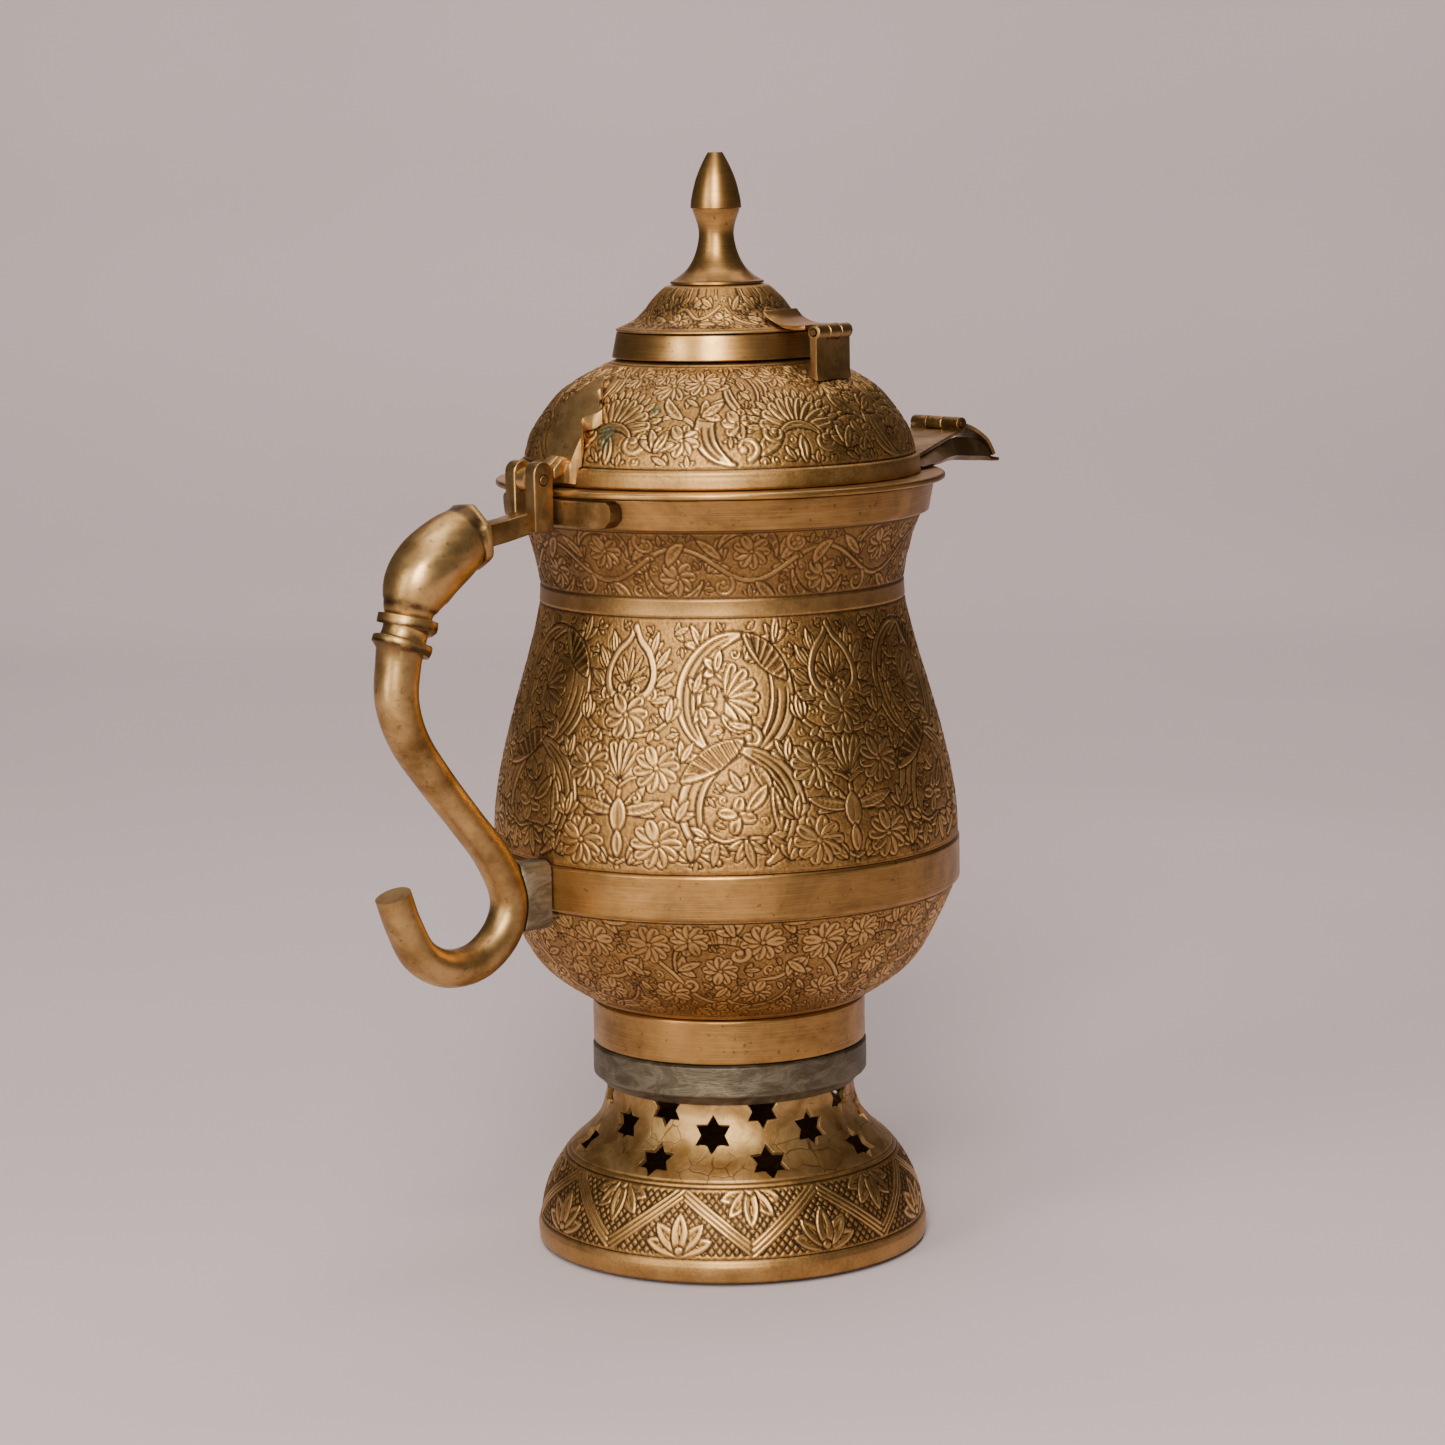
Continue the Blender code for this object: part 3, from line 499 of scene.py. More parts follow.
    def fill_gaps(self, size=1.9, tries=1500):
        """Sprigs, curls and buds wherever the ground is still empty, big ones first."""
        for scale in (2.2, 1.7, 1.3, 1.0, 0.75):
            reach = int(size * scale / self.pitch)
            for _ in range(tries):
                k = size * scale
                x = float(self.random.uniform(0, self.width))
                y = float(self.random.uniform(k * 0.8, self.height - k * 0.8))
                i, j = int(x / self.width * len(self.u)), int(y / self.pitch)
                columns = np.arange(i - reach, i + reach) % len(self.u)
                if self.raised[max(j - reach, 0):j + reach][:, columns].max() > 0.3:
                    continue
                a = float(self.random.uniform(0, math.tau))
                kind = self.random.random()
                if kind < 0.55:
                    self.spray(x - math.sin(a) * k * 0.75, y - math.cos(a) * k * 0.75, a, k * 1.6,
                               k * 0.62, 3, 0.75, 0.5)
                elif kind < 0.8:
                    self.curl(x, y, k * 0.72, a, 0.85, 0.42)
                else:
                    self.leaf(x - math.sin(a) * k * 0.8, y - math.cos(a) * k * 0.8, a, k * 1.7,
                              k * 0.8, 0.5, 2)

    def sample(self, theta, v, phase, warp=0.25):
        """Height and motif mask at angles (radians) and distances up the strip."""
        part = math.tau / self.repeats
        wander = (warp * np.sin(3 * theta + 0.11 * v + 0.7)
                  + warp * 0.6 * np.sin(7 * theta - 0.2 * v))
        u = ((theta - phase) / part * self.width + wander) / self.width * len(self.u) - 0.5
        w = (v + warp * 0.7 * np.sin(5 * theta + 1.3)) / self.pitch - 0.5
        i = np.floor(u).astype(int)
        j = np.clip(np.floor(w).astype(int), 0, len(self.v) - 2)
        fu, fw = u - i, np.clip(w - j, 0, 1)
        i0, i1 = i % len(self.u), (i + 1) % len(self.u)
        out = []
        for field in (self.level, self.raised):
            top = field[j, i0] * (1 - fu) + field[j, i1] * fu
            low = field[j + 1, i0] * (1 - fu) + field[j + 1, i1] * fu
            out.append(top * (1 - fw) + low * fw)
        return out


def body_ornament():
    """Main field of the body: paired S blades beside a spray of daisies under an arch leaf."""
    e = Engraving(57.6, 62.0, 6, 3)
    mid = 28.8
    # upper ring of the S: two blades round a half open flower and a small blossom
    e.spray(-8.5, 55.0, -0.15, 7.5, 2.2, 4, 1.0, 0.4)
    e.spray(11.5, 56.5, 0.25, 6.5, 2.0, 3, 0.6, 0.3)
    e.crescent(0, 43.6, 15.4, 12, -156, 5.4, slot=(0.08, 0.92))
    e.crescent(0.2, 43.8, 10.2, -20, -120, 1.7, slot=(0.3, 0.7))
    e.crescent(0.6, 43.2, 15.6, 168, 24, 6.4, slot=(0.1, 0.6))
    e.spray(3.5, 52.6, 0.9, 8.6, 3.4, 3, 0.45, 0.3, 4)
    e.crescent(2.6, 46.4, 12.2, 4, 84, 6.0, ribs=(0.06, 0.95), slot=(0.5, 0.51))
    e.spray(-4.8, 49.8, 0.2, 5.0, 2.4, 5, 2.1, 0.1)
    e.spray(-10.6, 44.5, 0.35, 5.0, 1.8, 3, 0.6, 0.4, 2)
    e.spray(-8.8, 40.5, 2.4, 5.4, 1.9, 4, 1.0, 0.3, 2)
    e.fan(-2.6, 42.4, 9.4, 7, 2.5, 1.5)
    e.leaf(-3.0, 38.6, 2.6, 7.0, 2.2, -0.8)
    e.leaf(-1.0, 36.6, 2.0, 6.5, 1.9, -0.7)
    e.curl(4.4, 32.6, 2.6, 0.4, 0.75, 0.9)
    # lower ring, with its feathered head
    e.crescent(1.4, 15.6, 15.2, 8, -156, 5.8, slot=(0.3, 0.92))
    e.crescent(1.4, 15.6, 15.2, -4, 158, 5.4, slot=(0.08, 0.92))
    e.crescent(2.2, 15.4, 9.6, 20, 140, 2.0, slot=(0.2, 0.8))
    e.crescent(1.0, 17.6, 15.0, -70, 4, 6.2, ribs=(0.05, 0.97), slot=(0.5, 0.51))
    e.leaf(4.5, 25.6, 2.3, 7.0, 3.2, 0.8, 4)
    e.leaf(8.8, 20.0, 2.9, 10.5, 2.6, 0.3, 5)
    for k in range(4):
        e.petal(0.0, 13.8, 0.2 + k * 1.57, 4.6, 3.0)
    e.leaf(2.6, 15.4, 0.9, 7.4, 3.0, -0.5, 5)
    e.stem([(-7, 9.5), (-3.5, 7.6), (1.5, 8.4), (6, 7.4)], 0.4)
    e.spray(-7.4, 8.8, -1.0, 4.2, 1.6, 3, 0.7)
    e.spray(2.0, 7.6, 2.9, 6.4, 2.0, 5, 1.3, 0.3)
    e.spray(-5.0, 7.0, 3.3, 5.4, 1.8, 3, 0.8, 0.3)
    e.spray(7.5, 8.4, 2.2, 5.6, 1.9, 3, 0.7, 0.3)
    e.spray(-11.0, 3.2, -0.4, 5.4, 1.9, 4, 0.9, 0.2)
    e.spray(12.2, 3.0, 0.4, 5.4, 1.9, 4, 0.9, 0.2)
    # arch leaf with a palmette, over a daisy
    for side in (-1, 1):
        for k, (dx, dy, a, n) in enumerate(((6.4, 55.4, 0.25, 7.0), (8.2, 51.8, 0.6, 7.6),
                                            (8.8, 47.6, 0.95, 7.0), (8.0, 43.6, 1.35, 6.4))):
            e.spray(mid + side * (dx - 0.6), dy - 1.6, side * a, n * 0.8, 1.9, 3, 0.42 * side, 0.3)
        e.curl(mid + side * 6.4, 43.4, 2.2, -0.6 * side, 0.7 * side, 0.6)
        swag = [(mid + side * 13.2, 42.5), (mid + side * 12.0, 38.0), (mid + side * 7.5, 34.4),
                (mid, 33.2)]
        e.stem(swag, 0.5)
        e.spray(mid + side * 11.6, 37.4, side * 0.1, 5.6, 2.0, 3, 0.6 * side, 0.3)
        e.spray(mid + side * 7.6, 34.6, side * 2.9, 3.8, 1.5, 2, 0.5)
    left = [(mid - 1.3, 42.6), (mid - 5.4, 44.2), (mid - 6.9, 48.8), (mid - 5.0, 54.0),
            (mid - 1.6, 57.4), (mid, 60.4)]
    right = [(2 * mid - x, y) for x, y in left]
    for side in (left, right):
        arch = smooth_line(side, 0.7)
        e.shape(arch, [0.85] * len(arch), 0.0, 0.26)
    for side in (left, right):
        inner = smooth_line([(mid + (x - mid) * 0.84, 50 + (y - 50) * 0.84) for x, y in side], 0.7)
        e.line([tuple(p) for p in inner], 0.2, 1.0)
    for k in range(7):
        a = (k - 3) * 0.36
        e.leaf(mid + math.sin(a) * 0.5, 46.4, a, 8.6 - abs(k - 3) * 1.3, 1.15, a * 0.25)
    for side in (-1, 1):
        e.ring_dot(mid + side * 2.0, 45.2, 1.3)
    e.daisy(mid, 38.6, 6.2, 9, 0.1)
    # spray: fan of petals, daisies, bud and feathered leaves on one stalk
    e.stem([(mid, 1), (mid - 0.3, 10), (mid, 22)], 0.55)
    for side in (-1, 1):
        e.spray(mid + side * 1.0, 15.2, side * 1.25, 11.5, 2.7, 2, 0.28 * side, 0.5 * side, 5)
        e.leaf(mid + side * 1.0, 14.8, side * 1.45, 10.5, 3.0, -0.25 * side, 7)
        e.curl(mid + side * 4.5, 18.0, 1.3, 0.3, 0.8 * side, 0.5)
        e.stem([(mid, 2.0), (mid + side * 4.0, 4.0), (mid + side * 7.5, 5.0)], 0.4)
        e.spray(mid + side * 3.0, 2.2, side * 0.7, 5.6, 1.9, 3, 0.5 * side, 0.3)
        e.spray(mid + side * 14.6, 13.0, side * 0.2, 6.0, 1.9, 4, 0.9, 0.3)
        e.spray(mid + side * 16.0, 27.5, side * 0.2, 5.6, 1.9, 4, 0.9, 0.3)
    e.fan(mid, 22.4, 10.2, 7, 1.9)
    for side in (-1, 1):
        e.stem([(mid, 21), (mid + side * 3.0, 23.0), (mid + side * 6.5, 23.4)], 0.4)
        e.daisy(mid + side * 9.4, 25.6, 6.1, 10, 0.2 * side)
        e.daisy(mid + side * 9.6, 7.0, 6.2, 10, 0.35 * side)
    e.leaf(mid, 10.4, 0.0, 7.4, 4.2)
    e.leaf(mid, 4.0, 0.0, 6.0, 2.6)
    e.fill_gaps()
    return e


def scroll_frieze(width, height, repeats, seed, big):
    """Waving stem with blossoms in its bays, blades and small leaves."""
    e = Engraving(width, height, repeats, seed)
    mid = height / 2
    amp = height * 0.26
    wave = [(width * k / 16, mid + amp * math.sin(math.tau * k / 16)) for k in range(-1, 18)]
    r = min(height * 0.3, big)
    for k, (x, up) in enumerate(((width * 0.25, -1), (width * 0.75, 1))):
        y = mid + up * amp * 0.75
        e.spray(x + r * 1.9, y - up * r * 0.4, 0.8 * up + 1.5 * (up < 0), r * 1.7, r * 0.55, 3,
                0.6, 0.4, 3)
        e.spray(x - r * 1.9, y - up * r * 0.4, -0.8 * up - 1.5 * (up < 0), r * 1.7, r * 0.55, 3,
                0.6, 0.4, 3)
        e.crescent(x - r * 0.2, y, r * 1.8, -80 + 180 * (up < 0), 100 + 180 * (up < 0), r * 0.6,
                   ribs=(0.6, 0.95), slot=(0.08, 0.5))
    e.stem(wave, 0.5)
    for k, (x, up) in enumerate(((width * 0.25, -1), (width * 0.75, 1))):
        y = mid + up * amp * 0.75
        e.daisy(x, y, r * 1.12, 8 + k, 0.2 * k)
        e.curl(x - r * 1.7, mid - up * amp * 1.3, r * 0.7, 0.8 * up, 0.9 * up, 0.6)
        e.leaf(x + r * 0.4, mid - up * amp * 1.2, up * 2.2, r * 1.6, r * 0.7, up * 0.7, 4)
    e.fill_gaps(1.6)
    return e


def bowl_ornament():
    """Bowl: two staggered rows of daisies between S blades and curled shoots."""
    e = Engraving(43.0, 40.0, 8, 23)
    e.stem([(-4, 20), (3, 27), (10, 22), (17, 12), (25, 10), (32, 18), (39, 20), (46, 27)], 0.5)
    e.crescent(21.5, 24.0, 10.4, -100, 60, 4.0, ribs=(0.55, 0.95), slot=(0.1, 0.5))
    e.crescent(33.0, 14.0, 9.4, 80, 250, 3.8, ribs=(0.05, 0.4), slot=(0.45, 0.9))
    for x, y, r, n in ((5.5, 30.0, 5.6, 10), (16.0, 31.5, 4.8, 9), (33.5, 30.5, 5.4, 10),
                       (23.0, 22.0, 4.6, 9), (9.0, 14.0, 5.0, 9), (32.5, 14.0, 4.8, 9),
                       (20.5, 5.5, 4.4, 8), (42.0, 6.0, 4.2, 8)):
        e.daisy(x, y, r, n, x)
    for x, y, a in ((0, 20, 0.4), (12.5, 22.5, 1.2), (26.5, 33, -0.4), (40.5, 24, 2.2),
                    (15, 6.5, 2.6), (27, 4, 0.9), (2, 7.5, -0.7), (38, 36.5, 1.6)):
        e.spray(x, y, a, 6.0, 2.1, 3, 0.7, 0.4, 2)
    e.curl(27.8, 27.0, 2.6, 1.0, 0.9, 0.8)
    e.curl(14.5, 17.5, 2.2, 3.0, -0.9, 0.7)
    e.fill_gaps(1.7)
    return e


def dome_ornament():
    """Lid: pairs of daisies, S shoots with curled tips and ribbed shells."""
    e = Engraving(46.0, 35.0, 6, 11)
    e.stem([(-2, 8), (3, 13), (9, 13), (14, 8), (15, 4)], 0.5)
    e.crescent(22.5, 22.5, 9.4, 10, 145, 4.0, ribs=(0.0, 0.3), slot=(0.35, 0.92))
    e.crescent(21.0, 9.6, 9.6, -178, -15, 4.8, ribs=(0.66, 0.97), slot=(0.12, 0.62))
    e.crescent(27.0, 21.0, 8.0, -160, -60, 2.6, slot=(0.2, 0.8))
    e.leaf(26.5, 3.2, 0.9, 9.4, 4.2, -0.5, 6)
    e.curl(23.6, 4.8, 3.2, 2.9, -0.85, 0.9)
    e.daisy(22.2, 11.4, 4.2, 7, 0.3)
    e.spray(16.6, 22.8, 0.6, 6.4, 2.3, 3, 0.6, 0.3, 3)
    e.spray(29.5, 28.5, -0.8, 6.0, 2.2, 3, 0.7, 0.3, 3)
    for k in range(15):
        a = -1.5 + k * 0.214
        e.leaf(37.0 + math.sin(a) * 9.2, 9.5 + math.cos(a) * 9.2, a, 3.4, 1.5)
    e.fan(37.0, 9.5, 9.8, 9, 2.75)
    e.crescent(37.0, 6.2, 5.6, -75, 75, 1.8, slot=(0.1, 0.9))
    e.leaf(37.0, 1.2, 0.0, 6.4, 2.4)
    e.curl(31.0, 8.4, 2.6, -1.2, -0.85, 0.8)
    e.curl(42.8, 6.2, 3.2, 1.0, 0.9, 0.9)
    e.daisy(4.2, 24.5, 6.4, 12, 0.0)
    e.daisy(13.0, 25.8, 5.8, 11, 0.2)
    e.daisy(36.0, 28.0, 5.0, 9, 0.1)
    e.daisy(45.2, 29.0, 4.2, 8, 0.3)
    e.daisy(8.5, 7.0, 4.4, 8, 0.3)
    e.leaf(8.0, 13.5, -1.0, 7.5, 2.8, 0.9, 4)
    e.spray(2.6, 4.4, 0.1, 6.4, 2.2, 4, 0.9, 0.4, 2)
    e.spray(13.5, 14.0, 1.0, 6.4, 2.3, 3, 0.7, 0.3, 3)
    e.fill_gaps(1.7)
    return e


def foot_ornament():
    """Double zigzag with half flowers in each triangle, on a cross-hatched ground."""
    e = Engraving(36.0, 18.6, 8, 5, ground=-0.3)
    w, h = e.width, e.height
    gap = w / 18
    for k in range(-12, 32):
        for lean in (-1, 1):
            e.line([(k * gap, 0.2), (k * gap + lean * gap * 7, h - 0.2)], 0.2, 0.95)
    for shift, half in ((-1.5, 0.42), (0, 0.5), (1.5, 0.42)):
        for x0, x1 in ((0, w / 2), (w, w / 2)):
            e.shape([(x0, h - 1.6 + shift), (x1, 1.6 + shift)], [half] * 2, 0.0, 0.24)
    for x, y, s in ((0.0, 2.0, 1), (w / 2, h - 2.0, -1)):
        for a in (-1.25, 1.25, -0.68, 0.68, 0.0):
            turn = 0.0 if s == 1 else math.pi
            length = 9.6 - 1.2 * abs(a)
            e.leaf(x, y - s * 0.6, turn + a, length, 4.0)
            e.groove([(x + math.sin(turn + a) * length * k,
                       y - s * 0.6 + math.cos(turn + a) * length * k)
                      for k in (0.3, 0.55, 0.82)], [0.1, 0.55, 0.1], 0.9)
            e.shape([(x + math.sin(turn + a) * length * k,
                      y - s * 0.6 + math.cos(turn + a) * length * k)
                     for k in (0.45, 0.7)], [0.2, 0.1], 0.0, 0.12)
        e.shape([(x, y - s * 0.4), (x + 0.01, y - s * 0.4)], [1.0] * 2, 0.0)
    return e


def cap_ornament():
    """Cap: leafy scrolls round the shoulder."""
    e = Engraving(26.0, 12.5, 5, 17)
    e.stem([(-2, 5), (4, 9), (9, 4), (14, 2.6), (19, 8.4), (24, 5), (30, 9)], 0.36)
    for x, y, r in ((4.5, 4.6, 2.9), (19.0, 4.6, 2.7), (11.5, 9.2, 2.4)):
        e.daisy(x, y, r, 7, 0.2)
    for x, y, a, n in ((8.0, 8.0, 0.6, 5.0), (11.5, 5.4, 1.9, 4.4), (14.5, 8.5, -0.5, 4.6),
                       (22.0, 9.0, 0.8, 4.2), (24.5, 3.0, 1.6, 4.0), (1.0, 9.0, -0.9, 4.0)):
        e.spray(x, y, a, n, 1.6, 3, 0.6, 0.4)
    e.fill_gaps(1.1)
    return e


# ---- finishes -------------------------------------------------------------------------------
class Wire:
    """A shader socket that can be added, multiplied and compared like a number."""

    def __init__(self, graph, socket):
        self.graph, self.socket = graph, socket

    def _math(self, kind, *values):
        node = self.graph.tree.nodes.new("ShaderNodeMath")
        node.operation = kind
        for slot, value in zip(node.inputs, values):
            self.graph.feed(slot, value)
        return Wire(self.graph, node.outputs[0])

    def __add__(self, other):
        return self._math("ADD", self, other)

    def __sub__(self, other):
        return self._math("SUBTRACT", self, other)

    def __rsub__(self, other):
        return self._math("SUBTRACT", other, self)

    def __mul__(self, other):
        return self._math("MULTIPLY", self, other)

    def __pow__(self, other):
        return self._math("POWER", self, other)

    def clamp(self):
        return self._math("MINIMUM", self._math("MAXIMUM", self, 0.0), 1.0)

    def over(self, low, high):
        """0 below low, 1 above high, smooth between; the other way round if low is above high."""
        node = self.graph.tree.nodes.new("ShaderNodeMapRange")
        node.interpolation_type = "SMOOTHSTEP"
        node.inputs["From Min"].default_value = low
        node.inputs["From Max"].default_value = high
        self.graph.feed(node.inputs["Value"], self)
        return Wire(self.graph, node.outputs["Result"])

    __radd__ = __add__
    __rmul__ = __mul__


class Finish:
    """One material and the shader network inside it."""

    def __init__(self, name):
        self.material = bpy.data.materials.new(name)
        self.material.use_nodes = True
        self.tree = self.material.node_tree
        self.shader = self.tree.nodes["Principled BSDF"]
        self.place = self.node("ShaderNodeTexCoord").socket.node.outputs["Object"]

    def feed(self, socket, value):
        if isinstance(value, Wire):
            value = value.socket
        if isinstance(value, bpy.types.NodeSocket):
            self.tree.links.new(value, socket)
        elif hasattr(socket.default_value, "__len__") and not isinstance(value, (int, float)):
            value = tuple(value)
            socket.default_value = value + (1.0,) * (len(socket.default_value) - len(value))
        else:
            socket.default_value = value

    def node(self, kind, output=0, settings=None, **inputs):
        node = self.tree.nodes.new(kind)
        for key, value in (settings or {}).items():
            setattr(node, key, value)
        for key, value in inputs.items():
            self.feed(node.inputs[key.replace("_", " ")], value)
        return Wire(self, node.outputs[output])

    def noise(self, scale, detail=3.0, roughness=0.55, stretch=(1, 1, 1), distortion=0.0):
        at = self.node("ShaderNodeMapping", Vector=self.place, Scale=stretch)
        return self.node("ShaderNodeTexNoise", Vector=at, Scale=scale, Detail=detail,
                         Roughness=roughness, Distortion=distortion)

    def cells(self, scale, feature="DISTANCE_TO_EDGE", distort=0.0):
        at = Wire(self, self.place)
        if distort:
            blur = self.node("ShaderNodeTexNoise", 1, Vector=self.place, Scale=scale * 0.8)
            blur = self.node("ShaderNodeVectorMath", settings={"operation": "SCALE"},
                             Vector=blur, Scale=distort)
            at = self.node("ShaderNodeVectorMath", settings={"operation": "ADD"})
            node = at.socket.node
            self.feed(node.inputs[0], self.place)
            self.feed(node.inputs[1], blur)
        return self.node("ShaderNodeTexVoronoi", settings={"feature": feature}, Vector=at,
                         Scale=scale)

    def field(self, name):
        return self.node("ShaderNodeAttribute", "Fac", settings={"attribute_name": name})

    def mix(self, factor, a, b):
        node = self.tree.nodes.new("ShaderNodeMix")
        node.data_type = "RGBA"
        self.feed(node.inputs["Factor"], factor)
        self.feed(node.inputs["A"], a)
        self.feed(node.inputs["B"], b)
        return Wire(self, node.outputs["Result"])

    def set(self, **inputs):
        for key, value in inputs.items():
            self.feed(self.shader.inputs[key.replace("_", " ")], value)

    def bump(self, height, strength=0.3, distance=0.0002):
        self.feed(self.shader.inputs["Normal"],
                  self.node("ShaderNodeBump", Height=height, Strength=strength, Distance=distance))


def put_on(ob, finish):
    """Gives an object one finish all over."""
    ob.data.materials.clear()
    ob.data.materials.append(finish.material)
    return ob


def shade(color, k):
    """A colour made darker or lighter by a factor."""
    return tuple(min(c * k, 1.0) for c in color)


def engraved_finish(name, look, tone=1.0, tarnish=0.5, plain_from=None, salts=(), neck_shade_from=None):
    """Chased brass: rubbed rims, brown patina in the cuts that is partly painted shade, olive
    stains over both. Above the height plain_from the sheet is plain, mottled and finely cracked,
    and above the height given for the neck it is darker: painted shade of the neck under the rim."""
    f = Finish(name)
    relief, raised = f.field("relief"), f.field("raised")
    patches = f.noise(26, 4, 0.6)
    grain = f.noise(1100, 3, 0.7)
    blotch = f.noise(120, 4, 0.65)
    lines = f.noise(70, 3, 0.7, stretch=(1, 1, 60))
    high = relief.over(0.62, 0.98) * (raised.over(0.1, 0.7) * 0.62 + 0.38)
    stipple = f.noise(2300, 2, 0.55)
    # low: brown patina in the cuts, partly painted shade that darkens the recesses
    low = f.mix(grain.over(0.35, 0.65), shade(look.patina, 0.4 * tone),
                shade(look.patina, 1.0 * tone))
    ground = f.mix((blotch * 0.5 + grain * 0.6).over(0.35, 0.75), shade(look.brass, 0.56 * tone),
                   shade(look.brass, 1.15 * tone))
    crest = f.mix((patches * 0.7 + blotch * 0.4).over(0.35, 0.7), shade(look.brass, 1.0 * tone),
                  shade(look.worn, 1.05 * tone))
    ground = f.mix(stipple.over(0.52, 0.66) * 0.55, ground, shade(look.patina, 1.3 * tone))
    colour = f.mix(relief.over(0.16, 0.62), low, ground)
    colour = f.mix(high, colour, crest)
    colour = f.mix(patches.over(0.56, 0.74) * 0.5 * tarnish, colour, shade(look.patina, 1.8 * tone))
    # painted shade: the neck frieze is darkened where it curves in under the rim, mottled by the
    # tarnish patches
    if neck_shade_from is not None:
        z = f.node("ShaderNodeSeparateXYZ", "Z", Vector=f.place)
        neck_shade = z.over((neck_shade_from - 7) * MM, (neck_shade_from + 1.5) * MM)
        colour = f.mix(neck_shade * (0.34 + patches * 0.3), colour, shade(look.patina, 1.5 * tone))
    if salts:
        spot = None
        for x, y, up, size in salts:
            away = f.node("ShaderNodeVectorMath", "Value", settings={"operation": "DISTANCE"})
            node = away.socket.node
            f.feed(node.inputs[0], f.place)
            f.feed(node.inputs[1], (x * MM, y * MM, up * MM))
            one = away.over(size * 1.4 * MM, size * 0.6 * MM)
            spot = one if spot is None else (spot + one).clamp()
        spot = spot * (blotch * 0.8 + grain * 0.35).over(0.42, 0.66) * 0.75
        colour = f.mix(spot, colour, look.verdigris)
    rough = 0.50 - high * 0.15 + (blotch - 0.5) * 0.22 + (grain - 0.5) * 0.12
    height = grain * 0.55 + f.noise(2600, 2, 0.6) * 0.3 + lines * 0.3
    if plain_from is not None:
        z = f.node("ShaderNodeSeparateXYZ", "Z", Vector=f.place)
        plain = z.over(plain_from * MM, (plain_from + 0.6) * MM)
        crack = 1 - f.cells(150, distort=0.004).over(0.0, 0.035)
        crack = crack * f.noise(60, 3).over(0.45, 0.6)
        mottle = f.mix(f.noise(95, 5, 0.7, distortion=0.8).over(0.32, 0.68),
                       shade(look.brass, 0.66 * tone), shade(look.worn, 0.8 * tone))
        mottle = f.mix(crack * 0.75, mottle, shade(look.patina, 1.0))
        colour = f.mix(plain, colour, mottle)
        height = height + crack * plain * -1.2 + f.noise(260, 3, 0.6) * plain * 0.8
        rough = rough + plain * 0.05
    f.set(Base_Color=colour, Metallic=relief.over(-0.1, 0.35) * 0.25 + 0.75, Roughness=rough)
    f.bump(height, 0.32, 0.00012)
    return f


def plain_finish(name, look, tone=1.0, brushed=1.0, dull=0.0):
    """Turned plain brass, brushed round, with brown stains, specks and handling marks."""
    f = Finish(name)
    stains = f.noise(38, 5, 0.65, stretch=(1, 1, 1.8), distortion=0.8)
    small = f.noise(210, 4, 0.6)
    specks = f.noise(620, 2, 0.5)
    lines = f.noise(50, 4, 0.75, stretch=(1, 1, 70))
    colour = f.mix((stains * 0.8 + small * 0.25).over(0.38, 0.66), shade(look.brass, 0.6 * tone),
                   shade(look.brass, 1.12 * tone))
    colour = f.mix(lines.over(0.45, 0.7) * 0.45 * brushed + stains.over(0.6, 0.8) * 0.4, colour,
                   shade(look.worn, 0.95 * tone))
    colour = f.mix(specks.over(0.66, 0.73) * 0.6, colour, shade(look.patina, 1.3 * tone))
    colour = f.mix(stains.over(0.40, 0.26) * 0.35, colour, shade(look.patina, 1.6 * tone))
    f.set(Base_Color=colour, Metallic=0.97,
          Roughness=0.36 + dull + (stains - 0.5) * -0.35 + (lines - 0.5) * 0.16 * brushed)
    f.bump(lines * brushed + specks * 0.4 + small * 0.3, 0.25, 0.00014)
    return f


def cast_finish(name, look, tone=1.0, dark=0.35, dark_necks=False):
    """Filed cast brass with tarnish left in the hollows."""
    f = Finish(name)
    clouds = f.noise(48, 5, 0.62, distortion=0.5)
    small = f.noise(190, 4, 0.65)
    pits = f.noise(520, 3, 0.6)
    scuffs = f.noise(150, 3, 0.6, stretch=(1, 1, 4), distortion=1.0)
    colour = f.mix((clouds * 0.75 + small * 0.3).over(0.32 + dark * 0.2, 0.72),
                   shade(look.brass, 0.5 * tone), shade(look.worn, 0.92 * tone))
    colour = f.mix(pits.over(0.60, 0.72) * 0.5, colour, shade(look.patina, 1.2 * tone))
    colour = f.mix(clouds.over(0.42, 0.28) * 0.55, colour, shade(look.patina, 1.7 * tone))
    # the handle is made darker in the necks between its parts
    if dark_necks:
        neck_dark = (f.field("dark_necks") * 1.5 * small.over(0.2, 0.6)).clamp()
        colour = f.mix(neck_dark * 0.9, colour, shade(look.patina, 0.6))
    f.set(Base_Color=colour, Metallic=0.96,
          Roughness=0.40 - (clouds - 0.5) * 0.3 + (scuffs - 0.5) * 0.16)
    f.bump(pits * 0.5 + scuffs * 0.6 + small * 0.6, 0.35, 0.0002)
    return f


def solder_finish(name, look, tone=1.0):
    """Dull grey-green hard solder, scratched and smeared over brass."""
    f = Finish(name)
    smear = f.noise(90, 5, 0.7, stretch=(1, 1, 2.4), distortion=1.4)
    scratch = f.noise(140, 4, 0.75, stretch=(1, 1, 12), distortion=0.8)
    colour = f.mix(smear.over(0.38, 0.66), shade(look.solder, 0.55 * tone),
                   shade(look.solder, 1.45 * tone))
    colour = f.mix(scratch.over(0.58, 0.72) * 0.6, colour, shade(look.worn, 0.75 * tone))
    colour = f.mix(0.18, colour, shade(look.brass, 0.6 * tone))
    f.set(Base_Color=colour, Metallic=0.8, Roughness=0.5 + (smear - 0.5) * 0.3)
    f.bump(smear + scratch * 0.7, 0.6, 0.0004)
    return f


